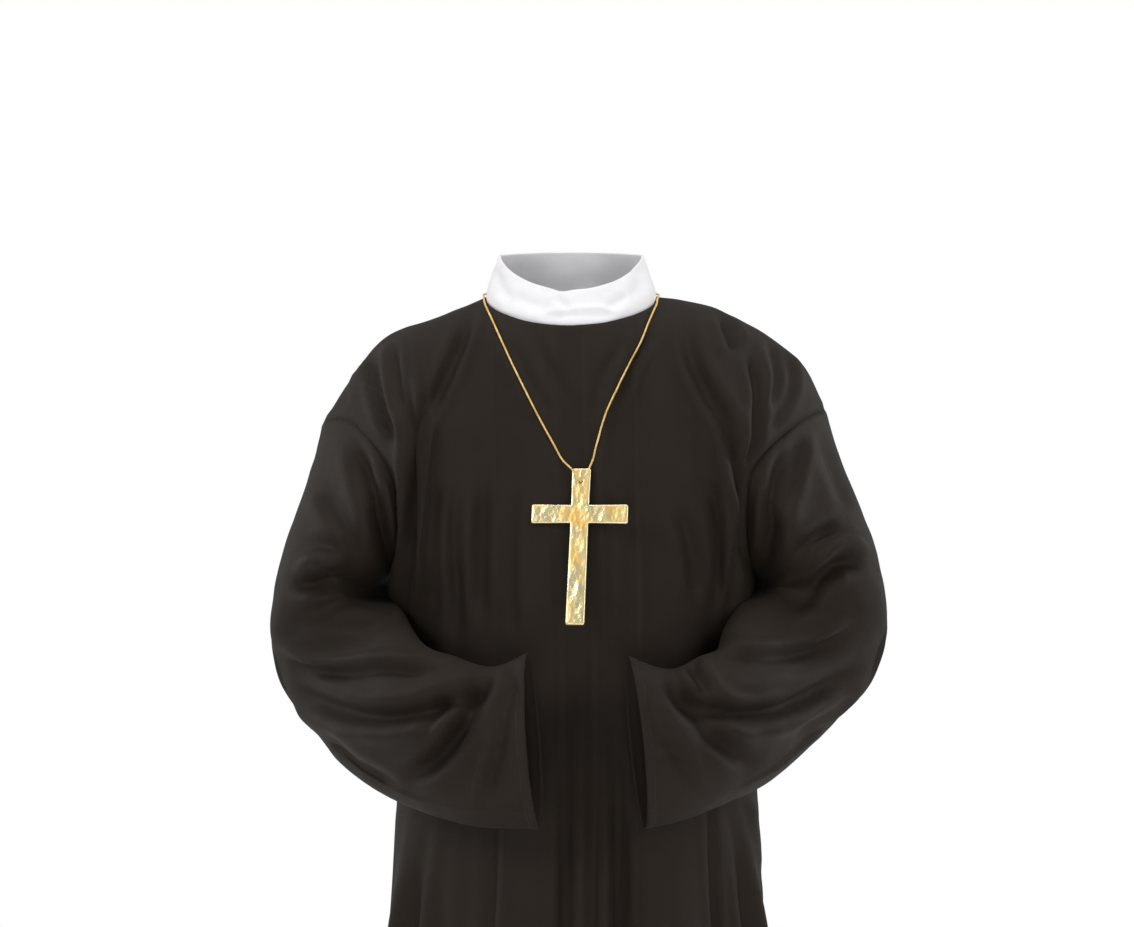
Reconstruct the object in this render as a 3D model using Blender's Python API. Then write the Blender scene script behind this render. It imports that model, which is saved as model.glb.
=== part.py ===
"""A priest costume as it is worn: a long black robe with drop-shoulder sleeves bent forward at the
elbow, a white stand collar, and a gilt cross on a cord. Metres, +Z up, the front faces -Y."""
import math

import bmesh
import bpy
import numpy as np
from mathutils import Matrix, Vector
from mathutils.bvhtree import BVHTree

# Driving sizes. The origin is the middle of the neck, at the height of the shoulder seams' inner ends.
ROBE_LENGTH = 1.380
ROBE_WALL = 0.0020
COLLAR_WALL = 0.0024
SEAM_GAP = 0.0003
ARMHOLE_GAP = 0.0004  # wider, because the cloths meet there at an angle that changes round the hole
BODY_MIDDLE = 0.010  # the body hangs this far to +X of the neck
WAIST_JOIN = -0.420  # below this height every row of the robe is a level ring

# Neckline
NECK_HALF_WIDTHS = {-1: 0.0845, 1: 0.0910}
NECK_SIDE_Z = -0.002
NECK_FRONT = 0.088
NECK_FRONT_DROP = 0.031
NECK_BACK = 0.070
NECK_BACK_RISE = 0.012

# How a panel is divided: the neckline takes this part of its half width and the shoulder the rest
NECK_SHARE = 0.36
NECK_COLUMNS = 5
SHOULDER_COLUMNS = 11
ARMHOLE_ROWS = 8
UNDERARM_ROWS = 2
SKIRT_ROWS = 13
SIDE_REACH = 0.75  # how far the armhole shapes the panel, as a part of its half width
UNDERARM_AT = 0.88  # where the underarm's row crosses the yoke's columns

# Sleeves
SLEEVE_COLUMNS = 4 * ARMHOLE_ROWS
SLEEVE_ROWS = 20
ARMHOLE_REACH = 0.34  # the armhole's shape dies out over this part of the sleeve
TWIST = 42.0  # degrees from the armhole's turns to the rings' own, reached at the bend
TWIST_REACH = 0.38
BODY_CLEARANCE = 0.008  # between the robe's level rings and the sleeves

# Collar: rings from the sewn edge to the rim. The rim dips in the middle of the front
COLLAR_COLUMNS = 44
COLLAR_ROWS = 4
COLLAR_RING_COLUMNS = "up half_width middle front back side_z front_drop back_rise"
COLLAR_RINGS = (
    (0.0, 0.0851, 0.0032, 0.0842, 0.0636, -0.0058, 0.0310, 0.0110),
    (0.2, 0.0853, 0.0032, 0.0838, 0.0640, 0.0010, 0.0310, 0.0110),
    (0.6, 0.0795, 0.0030, 0.0790, 0.0625, 0.0190, 0.0340, 0.0080),
    (1.0, 0.0722, 0.0030, 0.0735, 0.0590, 0.0400, 0.0385, 0.0060),
)

# Cross
CROSS_CENTRE = (0.0112, -0.1450, -0.2166)
CROSS_DOWN = (-0.0440, -0.2050, -0.9778)
CROSS_WIDTH = 0.0950
CROSS_ABOVE = 0.0448
CROSS_BELOW = 0.1080
CROSS_BAR = 0.0180
CROSS_FLARE = 0.0005
CROSS_THICKNESS = 0.0030
CROSS_CORNER = 0.0020
CROSS_EDGE = 0.0006
HOLE_BELOW_TOP = 0.0130
HOLE_RADIUS = 0.0017

# Cord, seen from the front: from the collar down to the hole on each side. It lies on the robe
CORD_DIAMETER = 0.0020
CORD_CLEARANCE = 0.0004
CORD_STANDOFF = 0.0007  # from the robe, whose folds the cord's straight steps cross
CORD_COLUMNS = "x z"
CORD_LEFT = (
    (-0.0815, -0.0118),
    (-0.0770, -0.0210),
    (-0.0682, -0.0405),
    (-0.0557, -0.0683),
    (-0.0425, -0.0952),
    (-0.0275, -0.1247),
    (-0.0145, -0.1483),
    (-0.0056, -0.1650),
)
CORD_RIGHT = (
    (0.0864, -0.0125),
    (0.0795, -0.0281),
    (0.0705, -0.0489),
    (0.0616, -0.0655),
    (0.0526, -0.0831),
    (0.0436, -0.1030),
    (0.0356, -0.1218),
    (0.0274, -0.1507),
    (0.0247, -0.1640),
)
CORD_STEPS = 24  # points of each strand on the robe
CORD_ARC_STEPS = 10  # points of each half of the arc round the collar
KNOT_RADIUS = 0.0026
KNOT_TURN = 2.3  # degrees of the arc that the knot takes on each side of the nape

# Level rings of the robe below the arms
RING_COLUMNS = "z half_width front back corner"
RINGS = (
    (-0.360, 0.176, 0.140, 0.126, 2.25),
    (-0.420, 0.178, 0.142, 0.126, 2.25),
    (-0.500, 0.179, 0.144, 0.128, 2.25),
    (-0.630, 0.181, 0.147, 0.134, 2.25),
    (-0.850, 0.192, 0.156, 0.147, 2.20),
    (-1.100, 0.214, 0.170, 0.164, 2.15),
    (-1.380, 0.244, 0.188, 0.184, 2.10),
)

# The shoulder seams, from the neck outwards
SHOULDER_LINE_COLUMNS = "x z"
SHOULDER_LINES = {
    -1: (
        (0.0845, -0.002),
        (0.110, -0.013),
        (0.138, -0.024),
        (0.166, -0.034),
        (0.190, -0.049),
        (0.214, -0.079),
        (0.245, -0.126),
    ),
    1: (
        (0.0910, -0.002),
        (0.114, -0.004),
        (0.146, -0.013),
        (0.177, -0.028),
        (0.207, -0.046),
        (0.235, -0.071),
        (0.257, -0.113),
    ),
}

# The armhole, from its outer tip round the front, the underarm and the back, as distances from the neck
ARMHOLE_COLUMNS_OF = "turn x y z"
ARMHOLE_LOOPS = {
    -1: (
        (0, 0.245, 0.000, -0.126),
        (45, 0.210, -0.066, -0.129),
        (90, 0.171, -0.108, -0.180),
        (135, 0.166, -0.076, -0.248),
        (180, 0.172, 0.000, -0.272),
        (225, 0.168, 0.070, -0.248),
        (270, 0.174, 0.102, -0.182),
        (315, 0.214, 0.064, -0.128),
    ),
    1: (
        (0, 0.257, 0.000, -0.113),
        (45, 0.224, -0.066, -0.130),
        (90, 0.179, -0.108, -0.176),
        (135, 0.176, -0.076, -0.246),
        (180, 0.184, 0.000, -0.270),
        (225, 0.178, 0.070, -0.246),
        (270, 0.184, 0.102, -0.180),
        (315, 0.222, 0.064, -0.124),
    ),
}

# Which way the cloth leaves the top edge of a panel: inwards, outwards from the chest, and down
LEAVING_COLUMNS = "share inwards outwards down pull"
LEAVING = {
    -1: (
        (0.00, 0.00, 0.50, 0.86, 0.9),
        (0.18, 0.00, 0.62, 0.78, 0.9),
        (0.36, -0.02, 0.96, 0.28, 1.0),
        (0.50, 0.00, 0.99, 0.10, 0.9),
        (0.70, 0.02, 1.00, 0.02, 0.9),
        (1.00, 0.20, 0.96, 0.12, 0.8),
    ),
    1: (
        (0.00, 0.00, 0.40, 0.92, 0.9),
        (0.18, 0.00, 0.62, 0.78, 0.9),
        (0.36, -0.02, 1.00, -0.06, 0.9),
        (0.50, 0.00, 1.00, -0.02, 0.9),
        (0.70, 0.02, 1.00, 0.02, 0.9),
        (1.00, 0.20, 0.96, 0.12, 0.8),
    ),
}

# Rings of the sleeves: the outer and the inner edge, which way the flat front faces, and half the
# depth of the tube in front of and behind its middle
SLEEVE_COLUMNS_OF = "outer_x outer_y outer_z inner_x inner_y inner_z facing front back"
SLEEVE_RINGS = {
    -1: (
        (0.250, 0.000, -0.145, 0.177, -0.002, -0.273, 0, 0.108, 0.102),
        (0.264, 0.005, -0.202, 0.190, -0.012, -0.280, 7, 0.104, 0.096),
        (0.276, 0.012, -0.255, 0.197, -0.028, -0.290, 16, 0.096, 0.086),
        (0.279, 0.018, -0.305, 0.195, -0.047, -0.298, 26, 0.084, 0.074),
        (0.279, 0.022, -0.355, 0.187, -0.066, -0.303, 35, 0.072, 0.063),
        (0.270, 0.018, -0.398, 0.177, -0.086, -0.306, 41, 0.062, 0.055),
        (0.244, -0.004, -0.434, 0.167, -0.106, -0.312, 43, 0.054, 0.049),
        (0.213, -0.052, -0.468, 0.158, -0.127, -0.325, 42, 0.048, 0.044),
        (0.170, -0.112, -0.492, 0.139, -0.152, -0.343, 36, 0.045, 0.040),
        (0.120, -0.156, -0.507, 0.106, -0.173, -0.353, 28, 0.045, 0.037),
        (0.072, -0.184, -0.513, 0.072, -0.190, -0.360, 20, 0.044, 0.036),
        (0.026, -0.198, -0.513, 0.038, -0.201, -0.347, 9, 0.043, 0.036),
    ),
    1: (
        (0.264, 0.000, -0.132, 0.189, -0.002, -0.271, 0, 0.108, 0.102),
        (0.280, 0.005, -0.188, 0.198, -0.012, -0.277, 7, 0.104, 0.096),
        (0.296, 0.012, -0.240, 0.203, -0.028, -0.285, 16, 0.096, 0.086),
        (0.302, 0.018, -0.292, 0.200, -0.047, -0.292, 26, 0.084, 0.074),
        (0.303, 0.022, -0.345, 0.192, -0.066, -0.297, 35, 0.072, 0.063),
        (0.289, 0.018, -0.391, 0.182, -0.086, -0.300, 41, 0.062, 0.055),
        (0.260, -0.004, -0.424, 0.171, -0.106, -0.306, 43, 0.054, 0.049),
        (0.226, -0.052, -0.453, 0.161, -0.127, -0.320, 42, 0.048, 0.044),
        (0.186, -0.112, -0.479, 0.150, -0.152, -0.342, 36, 0.045, 0.040),
        (0.143, -0.156, -0.495, 0.124, -0.173, -0.352, 28, 0.044, 0.037),
        (0.104, -0.184, -0.507, 0.096, -0.190, -0.363, 20, 0.043, 0.036),
        (0.072, -0.198, -0.513, 0.056, -0.201, -0.350, 9, 0.042, 0.036),
    ),
}


# The largest folds of the body, each a straight line on the panel. Depth is outwards
BODY_FOLD_COLUMNS = "x_top z_top x_bottom z_bottom half_width depth"
FRONT_FOLDS = (
    (-0.128, -0.080, -0.152, -0.440, 0.013, -0.0070),
    (-0.165, -0.150, -0.165, -0.420, 0.012, 0.0050),
    (-0.100, -0.060, -0.132, -0.300, 0.016, 0.0040),
    (0.118, -0.060, 0.168, -0.380, 0.014, 0.0045),
    (0.140, -0.130, 0.150, -0.420, 0.013, -0.0060),
    (0.045, -0.120, 0.022, -0.480, 0.020, 0.0030),
    (-0.160, -0.460, -0.172, -1.420, 0.020, 0.0100),
    (-0.115, -0.480, -0.125, -1.420, 0.024, -0.0120),
    (-0.066, -0.470, -0.070, -1.420, 0.026, 0.0080),
    (-0.020, -0.520, -0.022, -1.420, 0.022, -0.0080),
    (0.014, -0.430, 0.016, -1.420, 0.016, 0.0080),
    (0.062, -0.460, 0.068, -1.420, 0.018, -0.0130),
    (0.104, -0.470, 0.120, -1.420, 0.026, 0.0090),
    (0.142, -0.480, 0.165, -1.420, 0.016, -0.0090),
    (0.172, -0.460, 0.205, -1.420, 0.020, 0.0100),
)
BACK_FOLDS = (
    (-0.140, -0.120, -0.150, -0.420, 0.022, -0.0070),
    (-0.095, -0.120, -0.105, -0.420, 0.024, 0.0050),
    (0.100, -0.110, 0.110, -0.430, 0.024, 0.0055),
    (0.145, -0.120, 0.155, -0.420, 0.022, -0.0070),
    (-0.165, -0.420, -0.195, -1.420, 0.024, 0.0110),
    (-0.118, -0.400, -0.140, -1.420, 0.024, -0.0130),
    (-0.068, -0.350, -0.080, -1.420, 0.026, 0.0110),
    (-0.012, -0.420, -0.016, -1.420, 0.026, -0.0120),
    (0.044, -0.380, 0.052, -1.420, 0.024, 0.0110),
    (0.094, -0.440, 0.112, -1.420, 0.024, -0.0130),
    (0.150, -0.400, 0.182, -1.420, 0.028, 0.0120),
)

# The largest folds of the sleeves. Along runs from the armhole to the cuff, turn goes round as in
# the armhole: 0 outside, 90 in front, 180 inside the bend, 270 behind
SLEEVE_FOLD_COLUMNS = "along_from turn_from along_to turn_to half_along half_turn depth"
SLEEVE_FOLDS = {
    -1: (
        (0.42, 60, 0.60, 130, 0.045, 30, -0.0060),
        (0.60, 20, 0.95, 120, 0.040, 26, -0.0060),
        (0.55, 40, 0.80, 100, 0.045, 26, 0.0050),
        (0.10, 60, 0.36, 110, 0.050, 24, -0.0050),
        (0.38, 270, 0.55, 250, 0.050, 40, -0.0060),
    ),
    1: (
        (0.40, 50, 0.60, 130, 0.045, 30, -0.0060),
        (0.62, 24, 0.92, 130, 0.040, 26, -0.0060),
        (0.52, 40, 0.80, 100, 0.045, 26, 0.0050),
        (0.10, 70, 0.34, 110, 0.050, 24, -0.0050),
        (0.40, 270, 0.56, 250, 0.050, 40, -0.0060),
    ),
}


def table(columns, rows):
    """A short table as one array for each named column."""
    return dict(zip(columns.split(), np.array(rows, float).T))


def flow(knots, values, at):
    """Values read from a smooth curve through the knots."""
    knots = np.asarray(knots, float)
    values = np.asarray(values, float)
    at = np.clip(np.asarray(at, float), knots[0], knots[-1])
    slopes = np.gradient(values, knots, axis=0)
    before = np.clip(np.searchsorted(knots, at, side="right") - 1, 0, len(knots) - 2)
    span = knots[before + 1] - knots[before]
    t = (at - knots[before]) / span
    if values.ndim > 1:
        span, t = span[..., None], t[..., None]
    start = (1 + 2 * t) * (1 - t) ** 2 * values[before] + t * (1 - t) ** 2 * span * slopes[before]
    end = t * t * (3 - 2 * t) * values[before + 1] + t * t * (t - 1) * span * slopes[before + 1]
    return start + end


def ease(value, low, high):
    """0 below low, 1 above high, smooth in between."""
    t = np.clip((np.asarray(value, float) - low) / (high - low), 0, 1)
    return t * t * (3 - 2 * t)


def unit(vectors):
    return vectors / np.maximum(np.linalg.norm(vectors, axis=-1, keepdims=True), 1e-12)


def armhole(side, turn):
    """Points of an armhole at these turns in degrees, 0 at the outer tip and 90 at the front."""
    loop = table(ARMHOLE_COLUMNS_OF, ARMHOLE_LOOPS[side])
    turns = np.concatenate([loop["turn"] - 360, loop["turn"], loop["turn"] + 360])
    points = np.stack([side * loop["x"], loop["y"], loop["z"]], axis=1)
    return flow(turns, np.tile(points, (3, 1)), turn)


def shares():
    """Where the columns of a panel lie, from -1 at one side seam to 1 at the other."""
    neck = np.linspace(0, NECK_SHARE, NECK_COLUMNS + 1)
    shoulder = np.linspace(NECK_SHARE, 1, SHOULDER_COLUMNS + 1)
    half = np.concatenate([neck, shoulder[1:]])
    return np.concatenate([-half[:0:-1], half])


def top_edge(share, facing):
    """The point of a panel's top edge at this share. facing is -1 for the front and 1 for the back."""
    side = -1 if share < 0 else 1
    reach = abs(share)
    if reach <= NECK_SHARE:
        turn = reach / NECK_SHARE * math.pi / 2
        depth = NECK_FRONT if facing < 0 else NECK_BACK
        drop = -NECK_FRONT_DROP if facing < 0 else NECK_BACK_RISE
        x = side * NECK_HALF_WIDTHS[side] * math.sin(turn)
        return np.array([x, facing * depth * math.cos(turn), NECK_SIDE_Z + drop * max(math.cos(turn), 0.0) ** 1.25])
    line = table(SHOULDER_LINE_COLUMNS, SHOULDER_LINES[side])
    along = (reach - NECK_SHARE) / (1 - NECK_SHARE)
    x, z = flow(np.linspace(0, 1, len(line["x"])), np.stack([line["x"], line["z"]], axis=1), along)
    return np.array([side * x, 0, z])


def ring_point(share, z, facing):
    """The point of the level ring at height z."""
    rings = table(RING_COLUMNS, RINGS[::-1])
    half_width, corner = (flow(rings["z"], rings[name], z) for name in ("half_width", "corner"))
    depth = flow(rings["z"], rings["front" if facing < 0 else "back"], z)
    turn = abs(share) * math.pi / 2
    x = math.copysign(half_width * math.sin(turn) ** (2 / corner), share)
    return np.array([BODY_MIDDLE + x, facing * depth * max(math.cos(turn), 0.0) ** (2 / corner), z])


def yoke_steps():
    """Where the rows cross a column of the yoke, from 0 at its top edge to 1 at the first level ring."""
    arm = np.linspace(0, UNDERARM_AT, ARMHOLE_ROWS + 1)
    below = np.linspace(UNDERARM_AT, 1, UNDERARM_ROWS + 1)
    return np.concatenate([arm, below[1:]])


def yoke_column(share, facing):
    """A column of a panel from its top edge to the first level ring, without the armhole."""
    start = top_edge(share, facing)
    end = ring_point(share, WAIST_JOIN, facing)
    leaving = table(LEAVING_COLUMNS, LEAVING[facing])
    inwards, outwards, down, pull = (
        flow(leaving["share"], leaving[name], abs(share)) for name in LEAVING_COLUMNS.split()[1:]
    )
    chord = np.linalg.norm(end - start)
    away = np.array([-math.copysign(inwards, share), facing * outwards, -down])
    first = away / np.linalg.norm(away) * chord * pull
    last = (ring_point(share, WAIST_JOIN - 0.01, facing) - end) / 0.01 * chord
    t = yoke_steps()[:, None]
    return (
        (1 + 2 * t) * (1 - t) ** 2 * start
        + t * (1 - t) ** 2 * first
        + t * t * (3 - 2 * t) * end
        + t * t * (t - 1) * last
    )


def side_edge(side, facing):
    """The edge of a panel round the armhole and down the side seam to the first level ring."""
    turns = np.linspace(0, 180, ARMHOLE_ROWS + 1)
    hole = armhole(side, turns if facing < 0 else 360 - turns)
    end = ring_point(side, WAIST_JOIN, facing)
    down = np.linspace(0, 1, UNDERARM_ROWS + 1)[1:, None]
    return np.concatenate([hole, hole[-1] + (end - hole[-1]) * down])


def panel(facing):
    """The outer face of the front or the back, as a grid of rows and columns."""
    heights = np.linspace(WAIST_JOIN, -ROBE_LENGTH, SKIRT_ROWS + 1)[1:]
    missing = {side: side_edge(side, facing) - yoke_column(side, facing) for side in (-1, 1)}
    columns = []
    for share in shares():
        level = ease(abs(share), 1 - SIDE_REACH, 1)
        height = max((abs(share) - 1 + SIDE_REACH) / SIDE_REACH, 0) ** 3
        near_side = np.array([level, level, height])
        yoke = yoke_column(share, facing) + missing[-1 if share < 0 else 1] * near_side
        skirt = np.array([ring_point(share, z, facing) for z in heights])
        columns.append(np.concatenate([yoke, skirt]))
    return np.stack(columns, axis=1)


def off_the_body(points, clearance):
    """Points moved straight out from the robe's level rings until they are this far off them."""
    rings = table(RING_COLUMNS, RINGS[::-1])
    z = np.clip(points[..., 2], -ROBE_LENGTH, RINGS[0][0])
    half_width, front, back, corner = (flow(rings["z"], rings[name], z) for name in RING_COLUMNS.split()[1:])
    x, y = points[..., 0] - BODY_MIDDLE, points[..., 1]
    depth = np.where(y < 0, front, back) + clearance
    reach = ((np.abs(x) / (half_width + clearance)) ** corner + (np.abs(y) / depth) ** corner) ** (1 / corner)
    out = 1 / np.clip(reach, 0.5, 1)
    return np.stack([BODY_MIDDLE + x * out, y * out, points[..., 2]], axis=-1)


def sleeve_turns(rows):
    """The turn of each column of a sleeve in the rings' own terms, row by row."""
    along = np.linspace(0, 1, rows)[:, None]
    turns = np.linspace(0, 360, SLEEVE_COLUMNS + 1)[None, :-1]
    return turns + TWIST * ease(along, 0, TWIST_REACH)


def sleeve(side):
    """The outer face of a sleeve, as rings from the armhole to the cuff."""
    corners = armhole(side, np.linspace(0, 360, SLEEVE_COLUMNS // 2 + 1)[:-1])
    first = np.empty((SLEEVE_COLUMNS, 3))
    first[::2] = corners
    first[1::2] = (corners + np.roll(corners, -1, axis=0)) / 2
    rows = table(SLEEVE_COLUMNS_OF, SLEEVE_RINGS[side])
    values = np.stack([rows[name] for name in SLEEVE_COLUMNS_OF.split()], axis=1)
    along = np.linspace(0, 1, SLEEVE_ROWS + 1)
    rings = []
    for place, turns in zip(flow(np.linspace(0, 1, len(values)), values, along), sleeve_turns(SLEEVE_ROWS + 1)):
        ox, oy, oz, ix, iy, iz, facing, front, back = place
        outer = np.array([side * ox, oy, oz])
        inner = np.array([side * ix, iy, iz])
        angle = math.radians(facing)
        forward = np.array([side * math.sin(angle), -math.cos(angle), 0])
        around = np.radians(turns)[:, None]
        depth = np.where(np.sin(around) > 0, front, back)
        rings.append((outer + inner) / 2 + (outer - inner) / 2 * np.cos(around) + forward * depth * np.sin(around))
    rings = np.array(rings)
    left_of_start = 1 - ease(along, 0.0, ARMHOLE_REACH)
    rings = rings + (first - rings[0]) * left_of_start[:, None, None]
    free = ease(along, 0.0, 0.15)[:, None, None]
    return rings + (off_the_body(rings, BODY_CLEARANCE) - rings) * free


def grid_normals(grid, closed):
    """Outward unit normals of a grid of rows and columns, which may close on itself sideways."""
    down = np.gradient(grid, axis=0)
    if closed:
        across = (np.roll(grid, -1, axis=1) - np.roll(grid, 1, axis=1)) / 2
    else:
        across = np.gradient(grid, axis=1)
    return unit(np.cross(down, across))


def body_folds(grid, facing):
    """How far each point of a panel moves outwards."""
    folds = table(BODY_FOLD_COLUMNS, FRONT_FOLDS if facing < 0 else BACK_FOLDS)
    x, z = grid[..., 0], grid[..., 2]
    moved = np.zeros_like(x)
    for x0, z0, x1, z1, half, depth in np.stack(list(folds.values()), axis=1):
        along = (z - z0) / (z1 - z0)
        middle = x0 + (x1 - x0) * np.clip(along, -0.2, 1.2)
        wider = 1 + 0.5 * np.clip(along, 0, 1)
        across = np.exp(-(((x - middle) / (half * wider)) ** 2))
        moved += depth * wider * across * ease(along, -0.02, 0.30) * (1 - ease(along, 0.80, 1.02))
    from_seam = 1 - ease(np.abs(shares()), 0.93, 1.0)[None, :]
    from_top = ease(np.linspace(0, 1, grid.shape[0]), 0.0, 0.16)[:, None]
    return moved * from_seam * from_top


def sleeve_folds(grid, side):
    """How far each point of a sleeve moves outwards."""
    rows, columns = grid.shape[:2]
    along = np.linspace(0, 1, rows)[:, None]
    turn = sleeve_turns(rows)
    moved = np.zeros((rows, columns))
    for a0, t0, a1, t1, half_along, half_turn, depth in SLEEVE_FOLDS[side]:
        part = ((along - a0) * (a1 - a0) / half_along**2 + (turn - t0) * (t1 - t0) / half_turn**2) / (
            ((a1 - a0) / half_along) ** 2 + ((t1 - t0) / half_turn) ** 2
        )
        part = np.clip(part, 0, 1)
        away = ((along - a0 - part * (a1 - a0)) / half_along) ** 2
        off = (turn - t0 - part * (t1 - t0) + 180) % 360 - 180
        moved += depth * np.exp(-away - (off / half_turn) ** 2)
    return moved * ease(along, 0.0, 0.10) * (1 - 0.6 * ease(along, 0.9, 1.0))


def collar():
    """The outer face of the collar, as rings from the rim down to the sewn edge."""
    rings = table(COLLAR_RING_COLUMNS, COLLAR_RINGS)
    values = np.stack([rings[name] for name in COLLAR_RING_COLUMNS.split()[1:]], axis=1)
    turns = np.linspace(0, 2 * math.pi, COLLAR_COLUMNS + 1)[:-1]
    grid = []
    for up in np.linspace(1, 0, COLLAR_ROWS + 1):
        half_width, middle, front, back, side_z, front_drop, back_rise = flow(rings["up"], values, up)
        ahead = np.sin(turns)
        x = middle + half_width * np.cos(turns)
        y = -np.where(ahead > 0, front, back) * ahead
        x, y, ahead = x[::-1], y[::-1], ahead[::-1]
        z = side_z - front_drop * np.maximum(ahead, 0) ** 1.25 + back_rise * np.maximum(-ahead, 0) ** 1.25
        grid.append(np.stack([x, y, z], axis=1))
    return np.array(grid)


class Cloth:
    """One piece of cloth: the grid of its outer face and whether it closes on itself sideways."""

    def __init__(self, name, grid, closed, wall):
        self.name, self.grid, self.closed, self.wall = name, grid, closed, wall
        self.normals = grid_normals(grid, closed)


def share_normals(pieces):
    """Give points that meet at a seam one normal."""
    sums = {}
    for piece in pieces:
        for point, normal in zip(piece.grid.reshape(-1, 3), piece.normals.reshape(-1, 3)):
            sums.setdefault(tuple(np.round(point, 5)), []).append(normal)
    for piece in pieces:
        flat = piece.grid.reshape(-1, 3)
        shared = np.array([np.sum(sums[tuple(np.round(point, 5))], axis=0) for point in flat])
        piece.normals = unit(shared).reshape(piece.grid.shape)


def halve_seam_normals(piece):
    """Between two points that meet the body, let a sleeve's wall run straight from one to the other."""
    seam = piece.normals[0]
    matched = np.arange(SLEEVE_COLUMNS) % 2 == (1 if piece.name == "sleeve_left" else 0)
    between = (np.roll(seam, 1, axis=0) + np.roll(seam, -1, axis=0)) / 2
    piece.normals[0] = np.where(matched[:, None], seam, between)


def seam_key(point):
    return tuple(np.round(point, 5))


def part_armhole(piece, ways):
    """Move a sleeve's first ring off the body, square to the seam, and note the way for the body."""
    seam, normals = piece.grid[0], piece.normals[0]
    along = np.roll(seam, -1, axis=0) - np.roll(seam, 1, axis=0)
    way = unit(np.cross(along, normals))
    if np.sum(way * (piece.grid[1] - seam)) < 0:
        way = -way
    for point, move in zip(seam, way):
        ways[seam_key(point)] = move
    piece.grid[0] = seam + way * ARMHOLE_GAP / 2


def pull_back(piece, ways):
    """Move the open edges of a piece off their seams, by half the seam gap."""
    grid = piece.grid
    moved = grid.copy()
    half = SEAM_GAP / 2
    if not piece.name.startswith("sleeve"):
        moved[0] += unit(grid[1] - grid[0]) * half
    if not piece.closed:
        for edge, beside in ((0, 1), (-1, -2)):
            inwards = unit(grid[:, beside] - grid[:, edge])
            moved[ARMHOLE_ROWS:, edge] += inwards[ARMHOLE_ROWS:] * half
            for row in range(ARMHOLE_ROWS + 1):
                moved[row, edge] -= ways[seam_key(grid[row, edge])] * ARMHOLE_GAP / 2
    piece.grid = moved


def shell(piece):
    """A closed solid of even wall on the inside of a piece's outer face."""
    rows, columns = piece.grid.shape[:2]
    outer = piece.grid.reshape(-1, 3)
    inner = (piece.grid - piece.normals * piece.wall).reshape(-1, 3)
    count = rows * columns
    points = np.concatenate([outer, inner])
    faces = []
    around = columns if piece.closed else columns - 1
    for row in range(rows - 1):
        for column in range(around):
            a = row * columns + column
            b = row * columns + (column + 1) % columns
            c, d = b + columns, a + columns
            faces.append((a, d, c, b))
            faces.append((a + count, b + count, c + count, d + count))
    for column in range(around):
        for row, order in ((0, 1), (rows - 1, -1)):
            a = row * columns + column
            b = row * columns + (column + 1) % columns
            faces.append((a, b, b + count, a + count)[::order])
    if not piece.closed:
        for row in range(rows - 1):
            for column, order in ((0, -1), (columns - 1, 1)):
                a = row * columns + column
                b = a + columns
                faces.append((a, b, b + count, a + count)[::order])
    return points, faces


def plain_material(name, colour, roughness, metallic=0.0):
    material = bpy.data.materials.new(name)
    material.use_nodes = True
    shader = material.node_tree.nodes["Principled BSDF"]
    shader.inputs["Base Color"].default_value = (*colour, 1)
    shader.inputs["Roughness"].default_value = roughness
    shader.inputs["Metallic"].default_value = metallic
    material.diffuse_color = (*colour, 1)
    return material


def add_mesh(name, points, faces, material, smooth=True):
    mesh = bpy.data.meshes.new(name)
    mesh.from_pydata([tuple(point) for point in points], [], faces)
    mesh.validate()
    body = bmesh.new()
    body.from_mesh(mesh)
    bmesh.ops.recalc_face_normals(body, faces=body.faces)
    bmesh.ops.triangulate(body, faces=body.faces, quad_method="SHORT_EDGE")
    body.to_mesh(mesh)
    body.free()
    mesh.polygons.foreach_set("use_smooth", [smooth] * len(mesh.polygons))
    mesh.materials.append(material)
    thing = bpy.data.objects.new(name, mesh)
    costume.objects.link(thing)
    return thing


def cross_axes():
    """The cross's own axes: along its arms, up its shaft, and out of its front face."""
    up = -unit(np.array(CROSS_DOWN))
    arms = unit(np.array([up[1], -up[0], 0.0]))
    if arms[0] < 0:
        arms = -arms
    return arms, up, np.cross(arms, up)


def cross_outline():
    """The outline of the cross, anticlockwise from the front, with rounded corners at its ends."""
    half, flare, reach = CROSS_BAR / 2, CROSS_FLARE, CROSS_WIDTH / 2
    ends = (
        ((reach, -half - flare), (reach, half + flare)),
        ((half, half),),
        ((half + flare, CROSS_ABOVE), (-half - flare, CROSS_ABOVE)),
        ((-half, half),),
        ((-reach, half + flare), (-reach, -half - flare)),
        ((-half, -half),),
        ((-half - flare, -CROSS_BELOW), (half + flare, -CROSS_BELOW)),
        ((half, -half),),
    )
    corners = [(point, len(group) == 2) for group in ends for point in group]
    outline = []
    for index, (point, rounded) in enumerate(corners):
        point = np.array(point)
        if not rounded:
            outline.append(point)
            continue
        before = unit(np.array(corners[index - 1][0]) - point)
        after = unit(np.array(corners[(index + 1) % len(corners)][0]) - point)
        middle = point + (before + after) * CROSS_CORNER
        for step in range(4):
            angle = step / 3 * math.pi / 2
            outline.append(middle - after * CROSS_CORNER * math.cos(angle) - before * CROSS_CORNER * math.sin(angle))
    return np.array(outline)


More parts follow.
